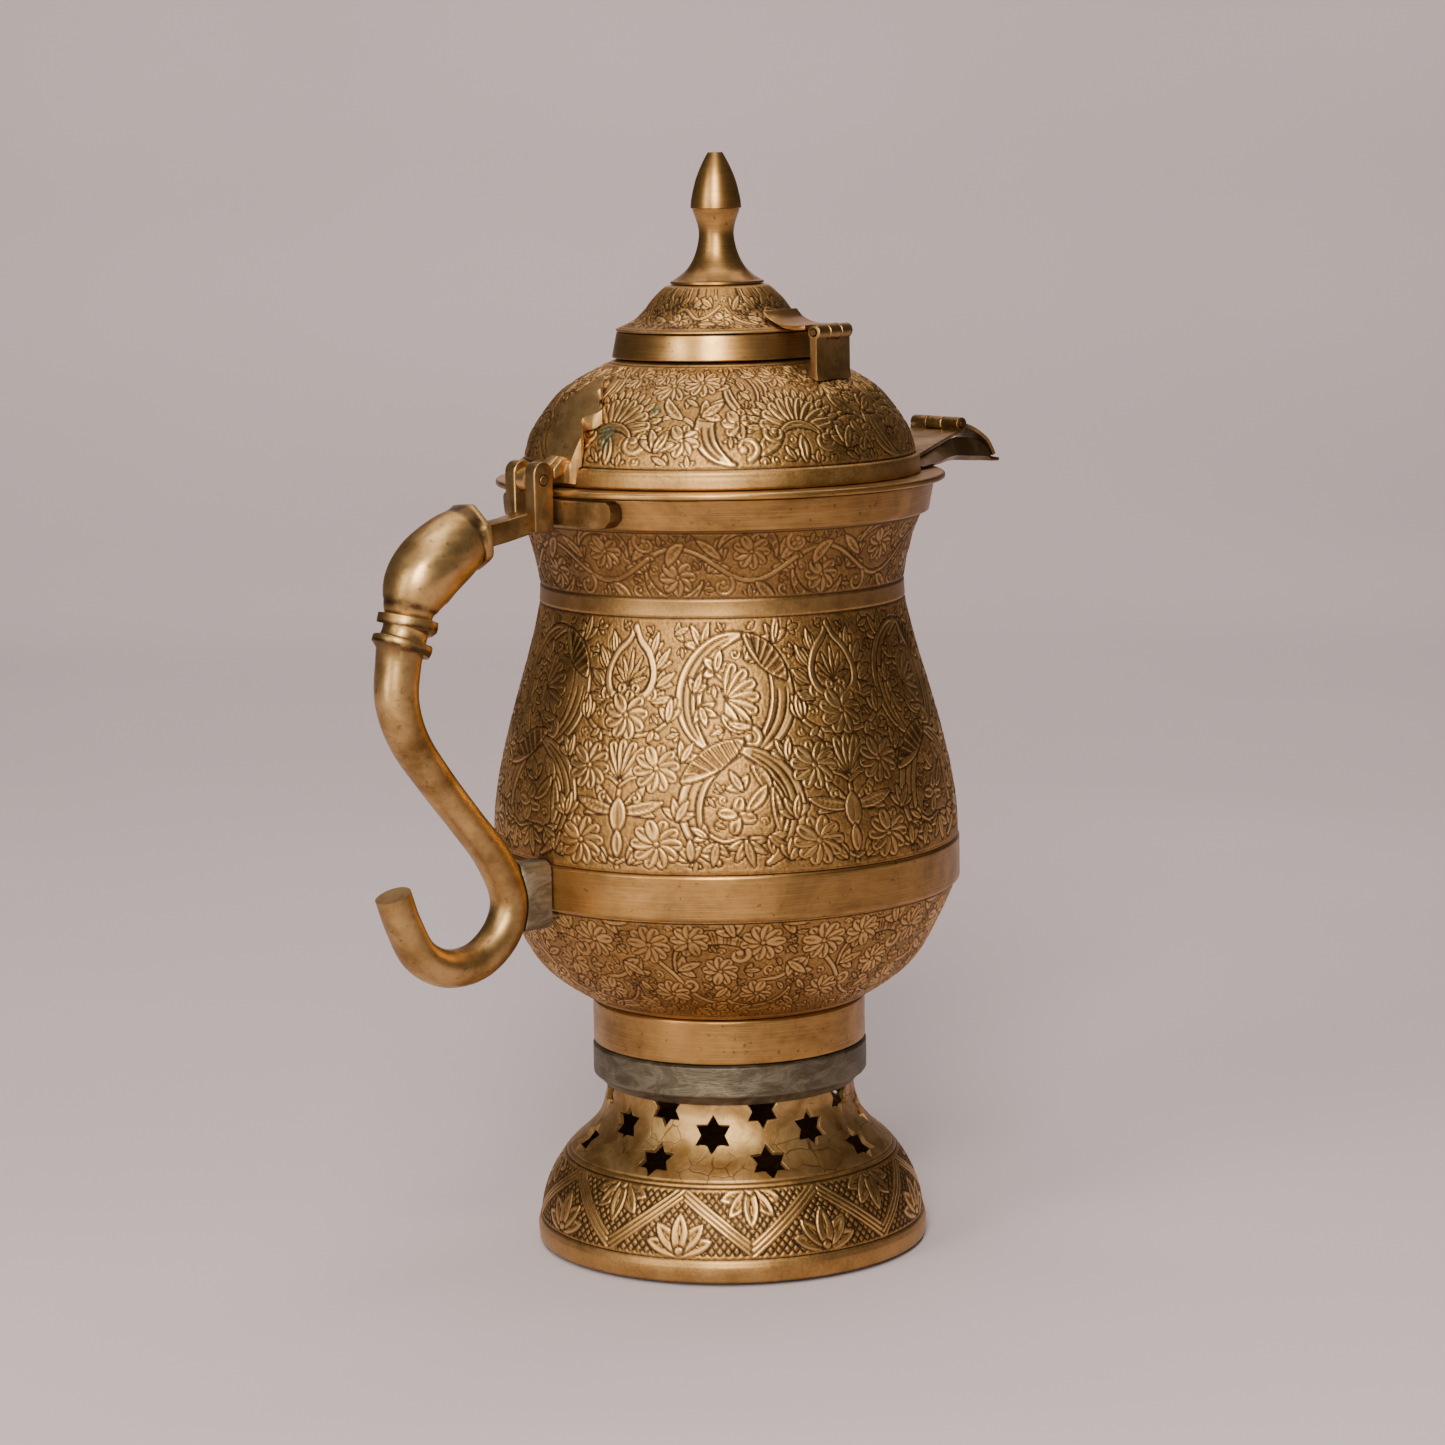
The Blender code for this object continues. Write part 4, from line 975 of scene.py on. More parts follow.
# ---- turned lines (radius, height) from the top down -------------------------------------------
BODY_LINE = [(51.5, 188.6), (49.4, 184.2), (48.0, 179.0), (47.0, 174.5), (46.65, 170.0),
             (47.5, 163.4), (50.0, 153.5), (53.1, 143.0), (55.9, 132.8), (58.3, 122.4),
             (59.6, 113.5), (60.0, 105.75)]
BOWL_LINE = [(59.2, 93.5), (57.0, 88.3), (54.4, 83.0), (51.2, 77.0), (47.5, 72.3), (42.4, 68.2),
             (37.9, 65.4), (35.4, 64.0)]
DOME_LINE = [(27.9, 227.5), (33.0, 225.0), (37.6, 222.4), (41.1, 219.7), (44.1, 216.2),
             (46.8, 212.4), (48.5, 209.3), (49.8, 205.0), (50.0, 203.9)]
FOOT_LINE = [(32.2, 40.2), (32.5, 37.3), (34.1, 32.4), (37.0, 28.6), (41.3, 24.7), (44.1, 21.5),
             (47.3, 16.2), (49.2, 11.0), (50.2, 6.1), (50.8, 3.8)]


def skin(name, outer, wall, columns, ornament, band, phase, grooves, depth):
    """Turned sheet from its outer line, with an engraved band between two heights and cut
    rings at given heights. The wall's inner side follows at the sheet's thickness."""
    run = np.concatenate([[0], np.cumsum(np.hypot(*np.diff(outer, axis=0).T))])
    theta = np.arange(columns) * math.tau / columns
    push = np.zeros((len(outer), columns))
    raised = np.zeros_like(push)
    inside = (outer[:, 1] > band[0]) & (outer[:, 1] < band[1])
    v = run[inside].max() - run[inside]
    level, mask = ornament.sample(theta[None, :], v[:, None], phase)
    fade = np.clip(np.minimum(v, v.max() - v) / 0.5, 0, 1)[:, None]
    push[inside] = level * fade
    raised[inside] = mask * fade
    for z, width in grooves:
        at = np.interp(-z, -outer[:, 1], run)
        ring = -np.exp(-((run - at) / width) ** 2)[:, None]
        push = np.minimum(push, ring)
    normal = line_normals(outer)
    under = (outer - normal * wall)[::-1]
    keep = np.unique(np.concatenate([np.arange(0, len(under), 5), [len(under) - 1]]))
    under = under[keep]
    under[:, 0] = np.maximum(under[:, 0], 0.0)
    line = np.vstack([outer, under])
    pad = np.zeros((len(under), columns))
    r = np.repeat(line[:, :1], columns, 1)
    z = np.repeat(line[:, 1:2], columns, 1)
    shift = np.vstack([push * depth, pad])
    n = np.vstack([normal, np.zeros_like(under)])
    r, z = r + n[:, :1] * shift, z + n[:, 1:2] * shift
    places = np.stack([r * np.sin(theta), -r * np.cos(theta), z], -1)
    fields = {"relief": np.vstack([1 + push, pad + 0.35]), "raised": np.vstack([raised, pad])}
    return grid_object(name, places, fields, closed_rows=True)


def ring_loop(name, points, columns=256, step=0.6, wobble=None, soft=0.35):
    """Solid turned ring from a closed loop with softened corners."""
    pts = [np.array(p, float) for p in points]
    out = []
    for i, p in enumerate(pts):
        a, b = pts[i - 1], pts[(i + 1) % len(pts)]
        la, lb = np.hypot(*(a - p)), np.hypot(*(b - p))
        k = min(soft, la * 0.4, lb * 0.4)
        p0, p1 = p + (a - p) / la * k, p + (b - p) / lb * k
        for t in (0, 0.25, 0.5, 0.75, 1):
            out.append(p0 * (1 - t) ** 2 + 2 * p * t * (1 - t) + p1 * t ** 2)
    line = dense_polyline(out + [out[0]], step)[:-1]
    theta = np.arange(columns) * math.tau / columns
    r = np.repeat(line[:, :1], columns, 1)
    if wobble is not None:
        r = r + wobble(theta)[None, :]
    places = np.stack([r * np.sin(theta), -r * np.cos(theta),
                       np.repeat(line[:, 1:2], columns, 1)], -1)
    return crisp(grid_object(name, places, closed_rows=True), 50)


def hammered(size, seed):
    """Slight unevenness round a hand-made ring, never outside its true size."""
    def radius(theta):
        w = np.zeros_like(theta)
        for k, a in ((2, 0.35), (3, 0.25), (5, 0.2), (8, 0.12), (13, 0.08)):
            w += a * np.sin(k * theta + seed * k * 1.7)
        return size * (w - 1.0) * 0.5
    return radius


def quick_columns(count):
    return count


# ---- operators ---------------------------------------------------------------------------------
def fine_step(sizes):
    """Height in millimetres of one row of engraved faces."""
    return sizes.row_step / MM * 1


# green spots on the dome: place and radius in millimetres
SALTS = ((-38.0, -11.4, 212.6, 2.3), (-38.6, -11.8, 209.8, 2.0), (-30.2, -20.6, 218.0, 1.2))


class KALASH_OT_body(bpy.types.Operator):
    """Engraved upper body with its waist and neck frieze, and the engraved lower bowl"""
    bl_idname = "kalash.body"
    bl_label = "Body and Bowl"

    def execute(self, context):
        s, look = context.scene.kalash_sizes, context.scene.kalash_finishes
        cols = quick_columns(s.columns)
        step = fine_step(s)
        depth = s.engraving_depth / MM
        wall = s.sheet / MM
        line = np.vstack([dense_polyline([(51.5, 196.4), (51.5, 188.8)], 1.5)[:-1],
                          smooth_line(BODY_LINE, step),
                          dense_polyline([(59.7, 105.55), (58.6, 105.4), (58.6, 99.7)], 1.2)])
        main = body_ornament()
        frieze = scroll_frieze(37.5, 16.6, 8, 7, 4.2)
        ob = skin("upper_body_engraved", line, wall, cols, main, (105.9, 166.9),
                  math.radians(-37.2), [(105.95, 0.22), (167.0, 0.3), (171.9, 0.3), (188.3, 0.25)],
                  depth)
        self.second_band(ob, line, frieze, (172.1, 188.4), math.radians(-20), cols, depth)
        # the body's finish carries painted shade on the neck above 172 mm
        add_piece(ob, engraved_finish("engraved_body_brass", look, neck_shade_from=172.0), "pot",
                  "engraved_brass", "upper_body")
        bowl = np.vstack([dense_polyline([(58.6, 99.3), (58.6, 94.0), (59.1, 93.8)], 1.2),
                          smooth_line(BOWL_LINE, step),
                          dense_polyline([(34.0, 63.9), (0.0, 64.0)], 4.0)])
        ob = skin("lower_bowl_engraved", bowl, wall, cols, bowl_ornament(),
                  (65.0, 93.3), math.radians(-66), [(93.2, 0.25), (65.2, 0.3)], depth)
        weld(ob)
        add_piece(ob, engraved_finish("engraved_bowl_brass", look, 0.95), "pot", "engraved_brass",
                  "lower_bowl")
        return {"FINISHED"}

    @staticmethod
    def second_band(ob, line, ornament, band, phase, columns, depth):
        """Cuts another engraved band into a skin that is already made."""
        run = np.concatenate([[0], np.cumsum(np.hypot(*np.diff(line, axis=0).T))])
        inside = np.where((line[:, 1] > band[0]) & (line[:, 1] < band[1]))[0]
        v = run[inside].max() - run[inside]
        theta = np.arange(columns) * math.tau / columns
        level, mask = ornament.sample(theta[None, :], v[:, None], phase)
        fade = np.clip(np.minimum(v, v.max() - v) / 0.5, 0, 1)[:, None]
        level, mask = level * fade, mask * fade
        count = len(ob.data.vertices)
        co = np.empty(count * 3, np.float32)
        ob.data.vertices.foreach_get("co", co)
        co = co.reshape(-1, 3)
        relief, raised = np.empty(count, np.float32), np.empty(count, np.float32)
        ob.data.attributes["relief"].data.foreach_get("value", relief)
        ob.data.attributes["raised"].data.foreach_get("value", raised)
        normal = line_normals(line)
        for n, i in enumerate(inside):
            at = slice(i * columns, (i + 1) * columns)
            push = level[n] * depth * MM
            co[at, 0] += push * normal[i, 0] * np.sin(theta)
            co[at, 1] -= push * normal[i, 0] * np.cos(theta)
            co[at, 2] += push * normal[i, 1]
            relief[at] = np.minimum(relief[at], 1 + level[n])
            raised[at] = mask[n]
        ob.data.vertices.foreach_set("co", co.ravel())
        ob.data.attributes["relief"].data.foreach_set("value", relief)
        ob.data.attributes["raised"].data.foreach_set("value", raised)
        ob.data.update()


class KALASH_OT_bands(bpy.types.Operator):
    """Plain turned rings: belly band, rim collar and foot collar"""
    bl_idname = "kalash.bands"
    bl_label = "Plain Bands"

    def execute(self, context):
        look = context.scene.kalash_finishes
        r = BELLY_R
        ob = ring_loop("belly_band_plain",
                       [(r - 0.35, 105.4), (r, 104.8), (r, 94.5), (r - 0.35, 93.9),
                        (58.95, 93.9), (58.95, 105.4)], 360, wobble=hammered(0.16, 1))
        add_piece(ob, plain_finish("belly_band_brass", look, 0.92), "pot", "plain_brass",
                  "belly_band")
        ob = ring_loop("rim_collar_plain",
                       [(54.6, 196.7), (53.9, 193.0), (53.2, 189.2), (52.6, 188.9),
                        (51.8, 188.9), (51.8, 196.7)], 320, wobble=hammered(0.12, 2))
        add_piece(ob, plain_finish("rim_collar_brass", look, 0.85), "pot", "plain_brass",
                  "rim_collar")
        ob = ring_loop("foot_collar_plain", [(34.9, 63.7), (35.4, 63.2), (35.4, 52.3), (32.5, 52.3),
                                             (32.5, 63.7)], 256, wobble=hammered(0.1, 3))
        add_piece(ob, plain_finish("foot_collar_brass", look, 0.9), "pot", "plain_brass",
                  "foot_collar")
        return {"FINISHED"}


class KALASH_OT_foot(bpy.types.Operator):
    """Flared foot with an engraved zigzag band and three rows of star holes, and its solder"""
    bl_idname = "kalash.foot"
    bl_label = "Pierced Foot"

    def execute(self, context):
        s, look = context.scene.kalash_sizes, context.scene.kalash_finishes
        cols = quick_columns(s.columns)
        step = fine_step(s)
        line = np.vstack([dense_polyline([(32.2, 63.4), (32.2, 41.5)], 2.0)[:-1],
                          smooth_line(FOOT_LINE, step),
                          dense_polyline([(50.75, 2.0), (50.5, 0.0)], 1.0)])
        ob = skin("pierced_foot", line, s.sheet / MM, cols, foot_ornament(), (6.1, 22.2),
                  math.radians(-56.5), [(22.5, 0.32), (23.6, 0.25), (5.9, 0.3)],
                  s.engraving_depth / MM)
        boolean(ob, self.stars())
        add_piece(ob, engraved_finish("foot_brass", look, 1.0, 0.6, 23.2), "pot", "engraved_brass",
                  "pierced_base")
        solder = ring_loop("foot_solder_ring",
                           [(34.3, 52.0), (35.8, 51.4), (35.8, 43.9), (34.3, 42.75), (33.0, 41.2),
                            (32.5, 41.2), (32.5, 52.0)], 256, wobble=hammered(0.45, 5))
        add_piece(solder, solder_finish("foot_solder", look, 0.76), "pot", "solder", "solder_ring")
        return {"FINISHED"}

    @staticmethod
    def stars():
        """Tapered six-pointed punches, one for each hole."""
        bm = bmesh.new()
        line = np.array(FOOT_LINE)
        for z, size, shift in ((39.2, 4.5, 0.0), (33.7, 5.0, 0.5), (27.5, 5.2, 0.0)):
            r = float(np.interp(-z, -line[:, 1], line[:, 0]))
            lo = line[line[:, 1] < z - 2.5][0]
            up = line[line[:, 1] > z + 0.8][-1] if z < 39 else np.array((32.2, 44.0))
            slope = math.atan2(lo[0] - up[0], up[1] - lo[1])
            for k in range(8):
                made = bmesh.ops.create_circle(bm, cap_ends=True, segments=12, radius=size * MM)
                verts = made["verts"]
                for i, v in enumerate(verts):
                    if i % 2:
                        v.co *= 0.6
                body = bmesh.ops.extrude_face_region(bm, geom=[verts[0].link_faces[0]])
                new = [g for g in body["geom"] if isinstance(g, bmesh.types.BMVert)]
                bmesh.ops.translate(bm, vec=(0, 0, 6 * MM), verts=new)
                bmesh.ops.translate(bm, vec=(0, 0, -3 * MM), verts=verts + new)
                turn = math.radians(19.5 + (k + shift) * 45.0)
                bmesh.ops.transform(bm, matrix=Matrix.Rotation(turn, 4, "Z")
                                    @ Matrix.Translation((0, -r * MM, z * MM))
                                    @ Matrix.Rotation(math.pi / 2 - slope, 4, "X"),
                                    verts=verts + new)
        bmesh.ops.recalc_face_normals(bm, faces=bm.faces)
        return from_bmesh("star_punches", bm)


class KALASH_OT_lid(bpy.types.Operator):
    """Hinged lid: flat flange, engraved dome and the locating ring below it"""
    bl_idname = "kalash.lid"
    bl_label = "Lid"

    def execute(self, context):
        s, look = context.scene.kalash_sizes, context.scene.kalash_finishes
        cols = quick_columns(s.columns)
        step = fine_step(s)
        ob = ring_loop("lid_flange_plain",
                       [(56.9, 198.6), (57.4, 198.2), (57.4, 197.3), (57.1, 197.0),
                        (48.0, 197.0), (48.0, 198.6)], 320, wobble=hammered(0.15, 7))
        add_piece(ob, plain_finish("lid_flange_brass", look), "lid", "plain_brass", "lid_flange")
        ob = ring_loop("lid_skirt_ring", [(49.2, 196.7), (49.2, 191.4), (48.2, 191.4),
                                          (48.2, 196.7)], 256)
        add_piece(ob, cast_finish("lid_skirt_brass", look, 0.5), "lid", "dark_brass", "lid_skirt")
        line = np.vstack([[(24.0, 230.4), (24.0, 229.4), (24.05, 228.6), (25.0, 228.2)],
                          smooth_line([(26.4, 228.0)] + DOME_LINE, step),
                          dense_polyline([(50.5, 203.5), (51.0, 203.0), (51.2, 198.9)], 0.7)])
        ob = skin("lid_dome_engraved", line, 1.1, cols, dome_ornament(), (203.9, 227.4),
                  math.radians(-63), [(204.0, 0.3), (202.6, 0.25), (227.5, 0.25)],
                  s.engraving_depth / MM)
        add_piece(ob, engraved_finish("dome_brass", look, 1.0, salts=SALTS), "lid",
                  "engraved_brass", "lid_dome")
        return {"FINISHED"}


class KALASH_OT_cap(bpy.types.Operator):
    """Small cap on the dome with its plain band and the turned finial"""
    bl_idname = "kalash.cap"
    bl_label = "Cap and Finial"

    def execute(self, context):
        look = context.scene.kalash_finishes
        cols = quick_columns(480)
        ob = ring_loop("cap_band_plain", [(25.8, 235.1), (27.1, 228.7), (26.0, 228.7),
                                          (24.7, 235.1)], 256, wobble=hammered(0.1, 9))
        add_piece(ob, plain_finish("cap_band_brass", look, 0.95), "cap", "plain_brass", "cap_band")
        line = np.vstack([dense_polyline([(0.0, 246.7), (11.8, 246.7)], 2.0)[:-1],
                          smooth_line([(11.8, 246.7), (13.6, 246.1), (16.4, 243.4), (19.0, 240.2),
                                       (21.6, 237.9), (25.9, 235.9)], 0.45),
                          [(25.95, 235.6), (25.9, 235.4)]])
        ob = skin("cap_dome_engraved", line, 1.05, cols, cap_ornament(), (236.3, 246.4), 0.4,
                  [(236.2, 0.3)], 0.17)
        weld(ob)
        add_piece(ob, engraved_finish("cap_dome_brass", look, 1.05, 0.4), "cap", "plain_brass",
                  "cap_dome")
        acorn = smooth_line([(1.9, 279.8), (3.6, 276.6), (5.1, 272.9), (6.2, 268.4),
                             (6.45, 265.9)], 0.5)
        flare = smooth_line([(5.9, 265.2), (4.7, 261.6), (4.5, 258.4), (5.7, 253.8), (7.9, 250.3),
                             (11.2, 247.8)], 0.5)
        line = np.vstack([[(0.0, 279.8), (0.9, 279.78)], acorn, [(6.0, 265.7), (5.95, 265.5)],
                          flare, [(11.85, 247.6), (11.9, 247.0), (0.0, 247.0)]])
        theta = np.arange(160) * math.tau / 160
        ob = grid_object("finial_turned", turned(line, theta))
        weld(ob)
        crisp(ob, 40)
        add_piece(ob, plain_finish("finial_brass", look, 1.0, 0.6), "cap", "plain_brass", "finial")
        return {"FINISHED"}


class KALASH_OT_handle(bpy.types.Operator):
    """Cast handle with its calyx, rings and hooked tail, the saddle bracket and the pad"""
    bl_idname = "kalash.handle"
    bl_label = "Handle"

    def execute(self, context):
        look = context.scene.kalash_finishes
        ob = self.grip()
        add_piece(ob, cast_finish("handle_brass", look, 1.0, 0.15, True), "pot", "cast_brass",
                  "handle_grip")
        ob = self.saddle()
        add_piece(ob, cast_finish("bracket_brass", look, 0.75, 0.5), "pot", "cast_brass",
                  "handle_bracket")
        ob = self.pad()
        add_piece(ob, solder_finish("pad_solder", look, 1.2), "pot", "solder", "handle_pad")
        hx, hz = JOINTS["lid_hinge"][0] - AXIS_X, JOINTS["lid_hinge"][2]
        pin = rod("lid_hinge_pin_round", (hx, 0, hz), 6.3, 1.2)
        add_piece(pin, cast_finish("lid_pin_brass", look, 0.55), "pot", "dark_brass",
                  "lid_hinge_pin")
        return {"FINISHED"}

    @staticmethod
    def grip():
        disc = [(-78.3, 189.0, 7.6), (-78.9, 188.9, 8.7), (-80.2, 188.7, 8.8), (-81.0, 188.6, 8.3)]
        bulb = [(-81.5, 188.5, 7.8), (-85.7, 186.4, 8.6), (-91.5, 182.5, 9.0), (-95.7, 178.0, 8.5),
                (-98.0, 173.6, 6.9), (-98.7, 171.0, 5.9)]
        ring = [(-98.8, 170.7, 7.5), (-99.3, 168.3, 7.5), (-99.5, 167.9, 5.9), (-100.4, 165.6, 5.9),
                (-100.5, 165.3, 7.4), (-101.2, 163.3, 7.4), (-101.4, 162.9, 5.8)]
        shaft = [(-101.9, 160.2, 5.6), (-102.7, 151.0, 5.4), (-99.6, 141.0, 5.0),
                 (-92.2, 130.3, 4.6), (-83.4, 119.3, 4.4), (-75.2, 108.8, 4.6), (-70.6, 98.3, 4.8),
                 (-73.0, 89.9, 4.9), (-80.6, 83.9, 4.9), (-90.1, 83.2, 4.8), (-98.0, 87.5, 4.7),
                 (-102.5, 95.4, 4.6), (-105.5, 103.5, 4.55)]
        pts = np.vstack([smooth_line(part, pitch) for part, pitch in
                         ((disc, 0.3), (bulb, 0.5), (ring, 0.3), (shaft, 0.7))])
        sides = 80
        places = tube(pts, sides)
        phi = np.arange(sides) * math.tau / sides
        run = np.concatenate([[0], np.cumsum(np.hypot(*np.diff(pts[:, :2], axis=0).T))])
        centre = places.mean(1, keepdims=True)
        scale = np.ones(places.shape[:2])
        # broad filed flats along the bulb
        k = np.sin(math.pi * np.clip((run - 3.2) / 22.8, 0, 1))[:, None]
        twist = (phi[None, :] + 0.05 * run[:, None]) * 9 / math.tau
        flats = 1 - np.abs((twist % 1) - 0.5) * 2
        scale -= k * (0.018 * flats + 0.012 * (0.5 + 0.5 * np.sin(run * 0.9)[:, None]
                                               * np.cos(phi * 3)[None, :]))
        # lobed petals of the calyx disc
        lobes = np.clip((3.0 - run) / 0.8, 0, 1)[:, None]
        scale -= lobes * (0.085 * np.abs(np.sin(phi * 3.5 + 0.4)) ** 0.7
                          + 0.03 * np.sin(phi * 2 + 1))[None, :].clip(0)
        # uneven hand-filed rings and shaft
        rings = ((run > 26) & (run < 37))[:, None]
        scale -= rings * 0.02 * (1 + np.sin(phi * 3 + 0.7)[None, :])
        low = (run > 40)[:, None]
        slow = 0.5 + 0.25 * np.sin(run * 0.21) + 0.25 * np.sin(run * 0.083 + 1)
        scale -= low * 0.035 * slow[:, None] * (0.5 + 0.5 * np.cos(phi * 4))[None, :]
        places = centre + (places - centre) * scale[..., None]
        # darker in the necks between disc, bulb, rings and shaft
        away = np.minimum.reduce([np.abs(run - neck) / reach for neck, reach in
                                  ((3.1, 1.1), (26.6, 1.1), (31.1, 1.0), (36.6, 1.2))])
        hollow = np.repeat(np.clip(1 - away, 0, 1)[:, None], sides, 1)
        ob = grid_object("handle_grip_cast", places, {"dark_necks": hollow}, closed_rows=False)
        close_ends(ob, len(pts), sides)
        return crisp(ob, 42)

    @staticmethod
    def saddle():
        hx, hz = JOINTS["lid_hinge"][0] - AXIS_X, JOINTS["lid_hinge"][2]
        ob = ring_loop("handle_saddle", [(57.5, 196.1), (57.1, 190.0), (56.6, 189.5), (53.6, 189.5),
                                         (54.95, 196.4), (57.2, 196.4)], 256, 1.2, soft=0.15)
        front = [(-21.6, 193.8), (-21.3, 195.4), (-20.0, 196.6), (20.0, 196.6), (21.3, 195.4),
                 (21.6, 193.8), (21.2, 191.6), (19.6, 190.0), (16.0, 189.0), (-16.0, 189.0),
                 (-19.6, 190.0), (-21.2, 191.6)]
        sector = prism("sector", front, -70.0, -40.0)
        sector.data.transform(Matrix.Rotation(math.pi / 2, 4, "Z"))
        sector.data.transform(Matrix.Scale(-1, 4, (1, 0, 0)))
        outward(sector)
        boolean(ob, sector, "INTERSECT")
        arm = prism("arm", [(-57.0, 193.9), (-60.0, 194.1), (-64.2, 193.4), (-70.0, 192.2),
                            (-77.6, 191.3), (-76.9, 185.6), (-70.0, 186.7), (-64.0, 187.9),
                            (-60.0, 188.9), (-55.0, 190.0)], -3.0, 3.0)
        boolean(ob, round_edges(arm, 0.6), "UNION")
        top = [(hx + 2.9 * math.cos(a), hz + 1.6 + 2.9 * math.sin(a))
               for a in np.linspace(0, math.pi, 17)]
        for side in (-1, 1):
            ear = prism("ear", [(hx - 2.9, 188.6), (hx + 2.9, 188.6)] + top,
                        min(side * 2.0, side * 6.0), max(side * 2.0, side * 6.0))
            boolean(ob, round_edges(ear, 0.4), "UNION")
        boolean(ob, rod("bore", (hx, 0, hz), 9, 1.5))
        return round_edges(ob, 0.3, 3, 40)

    @staticmethod
    def pad():
        bm = bmesh.new()
        bmesh.ops.create_cube(bm, size=1.0)
        bmesh.ops.scale(bm, vec=(12.5 * MM, 8.7 * MM, 17.2 * MM), verts=bm.verts)
        bmesh.ops.translate(bm, vec=(-64.25 * MM, 0, 98.0 * MM), verts=bm.verts)
        ob = from_bmesh("handle_pad_soldered", bm)
        round_edges(ob, 2.6, 6)
        ring = ring_loop("clear", [(60.65, 115), (60.65, 80), (0.5, 80), (0.5, 115)], 360, 40,
                         soft=0.01)
        boolean(ob, ring)
        grip = smooth_line([(-83.4, 119.3, 4.75), (-75.2, 108.8, 4.95), (-70.6, 98.3, 5.15),
                            (-73.0, 89.9, 5.25), (-80.6, 83.9, 5.25)], 1.0)
        cutter = grid_object("grip_clear", tube(grip), closed_rows=False)
        boolean(ob, close_ends(cutter, len(grip), 48))
        return round_edges(ob, 0.2, 2, 50)


class KALASH_OT_strap(bpy.types.Operator):
    """Leaf-shaped strap of the main hinge, formed over the dome"""
    bl_idname = "kalash.strap"
    bl_label = "Leaf Strap"

    def execute(self, context):
        look = context.scene.kalash_finishes
        hx, hz = JOINTS["lid_hinge"][0] - AXIS_X, JOINTS["lid_hinge"][2]
        base = np.vstack([smooth_line([(30.0, 226.5)] + DOME_LINE[1:], 0.6),
                          dense_polyline([(50.5, 203.5), (51.15, 199.7)], 0.6)])
        n = line_normals(base)
        loop = np.vstack([base + n * 2.3, (base + n * 0.3)[::-1]])
        theta = np.radians(np.linspace(-116, -64, 181))
        ob = grid_object("leaf_strap_sheet", turned(loop, theta), closed_rows=True,
                         closed_columns=False)
        with editing(ob) as bm:
            for column in (0, len(theta) - 1):
                bm.faces.new([bm.verts[row * len(theta) + column] for row in range(len(loop))])
            bmesh.ops.triangulate(bm, faces=[f for f in bm.faces if len(f.verts) > 4])
            bmesh.ops.recalc_face_normals(bm, faces=bm.faces)
        half = [(-52.9, 3.4), (-52.2, 4.6), (-51.0, 5.6), (-49.8, 6.4), (-48.9, 6.2),
                (-48.2, 5.2), (-47.7, 4.0), (-47.1, 3.8), (-46.7, 5.0), (-46.3, 6.6), (-45.7, 7.9),
                (-44.9, 8.7), (-44.6, 7.6), (-44.0, 6.4), (-43.2, 5.6), (-42.4, 4.2), (-41.6, 3.2),
                (-41.2, 3.6), (-40.6, 3.7), (-39.9, 2.8), (-39.0, 1.9), (-38.2, 1.4), (-37.2, 0.0)]
        other = [(x, -y) for x, y in reversed(half[:-1])]
        outline = [(-55.5, 3.4)] + half + other + [(-55.5, -3.4)]
        boolean(ob, prism("leaf_outline", outline, 190, 240, "Z"), "INTERSECT")
        round_edges(ob, 0.55, 3, 45)
        neck = [(hx, hz + 2.2), (-56.5, 204.2), (-53.4, 206.6), (-51.0, 206.4), (-51.7, 203.9),
                (-52.0, 202.3), (-55.0, 201.0), (hx, hz - 1.6)]
        boolean(ob, round_edges(prism("neck", neck, -1.65, 1.65), 0.35), "UNION")
        spread = [(-56.1, 203.7), (-53.5, 206.0), (-51.1, 205.8), (-51.8, 203.9), (-52.1, 202.4),
                  (-56.1, 201.0)]
        boolean(ob, round_edges(prism("spread", spread, -3.3, 3.3), 0.5), "UNION")
        boolean(ob, rod("knuckle", (hx, 0, hz), 1.7, 2.9), "UNION")
        boolean(ob, rod("bore", (hx, 0, hz), 4, 1.5))
        crisp(ob, 40)
        add_piece(ob, cast_finish("leaf_strap_brass", look, 1.15, 0.1), "lid", "plain_brass",
                  "leaf_strap")
        return {"FINISHED"}


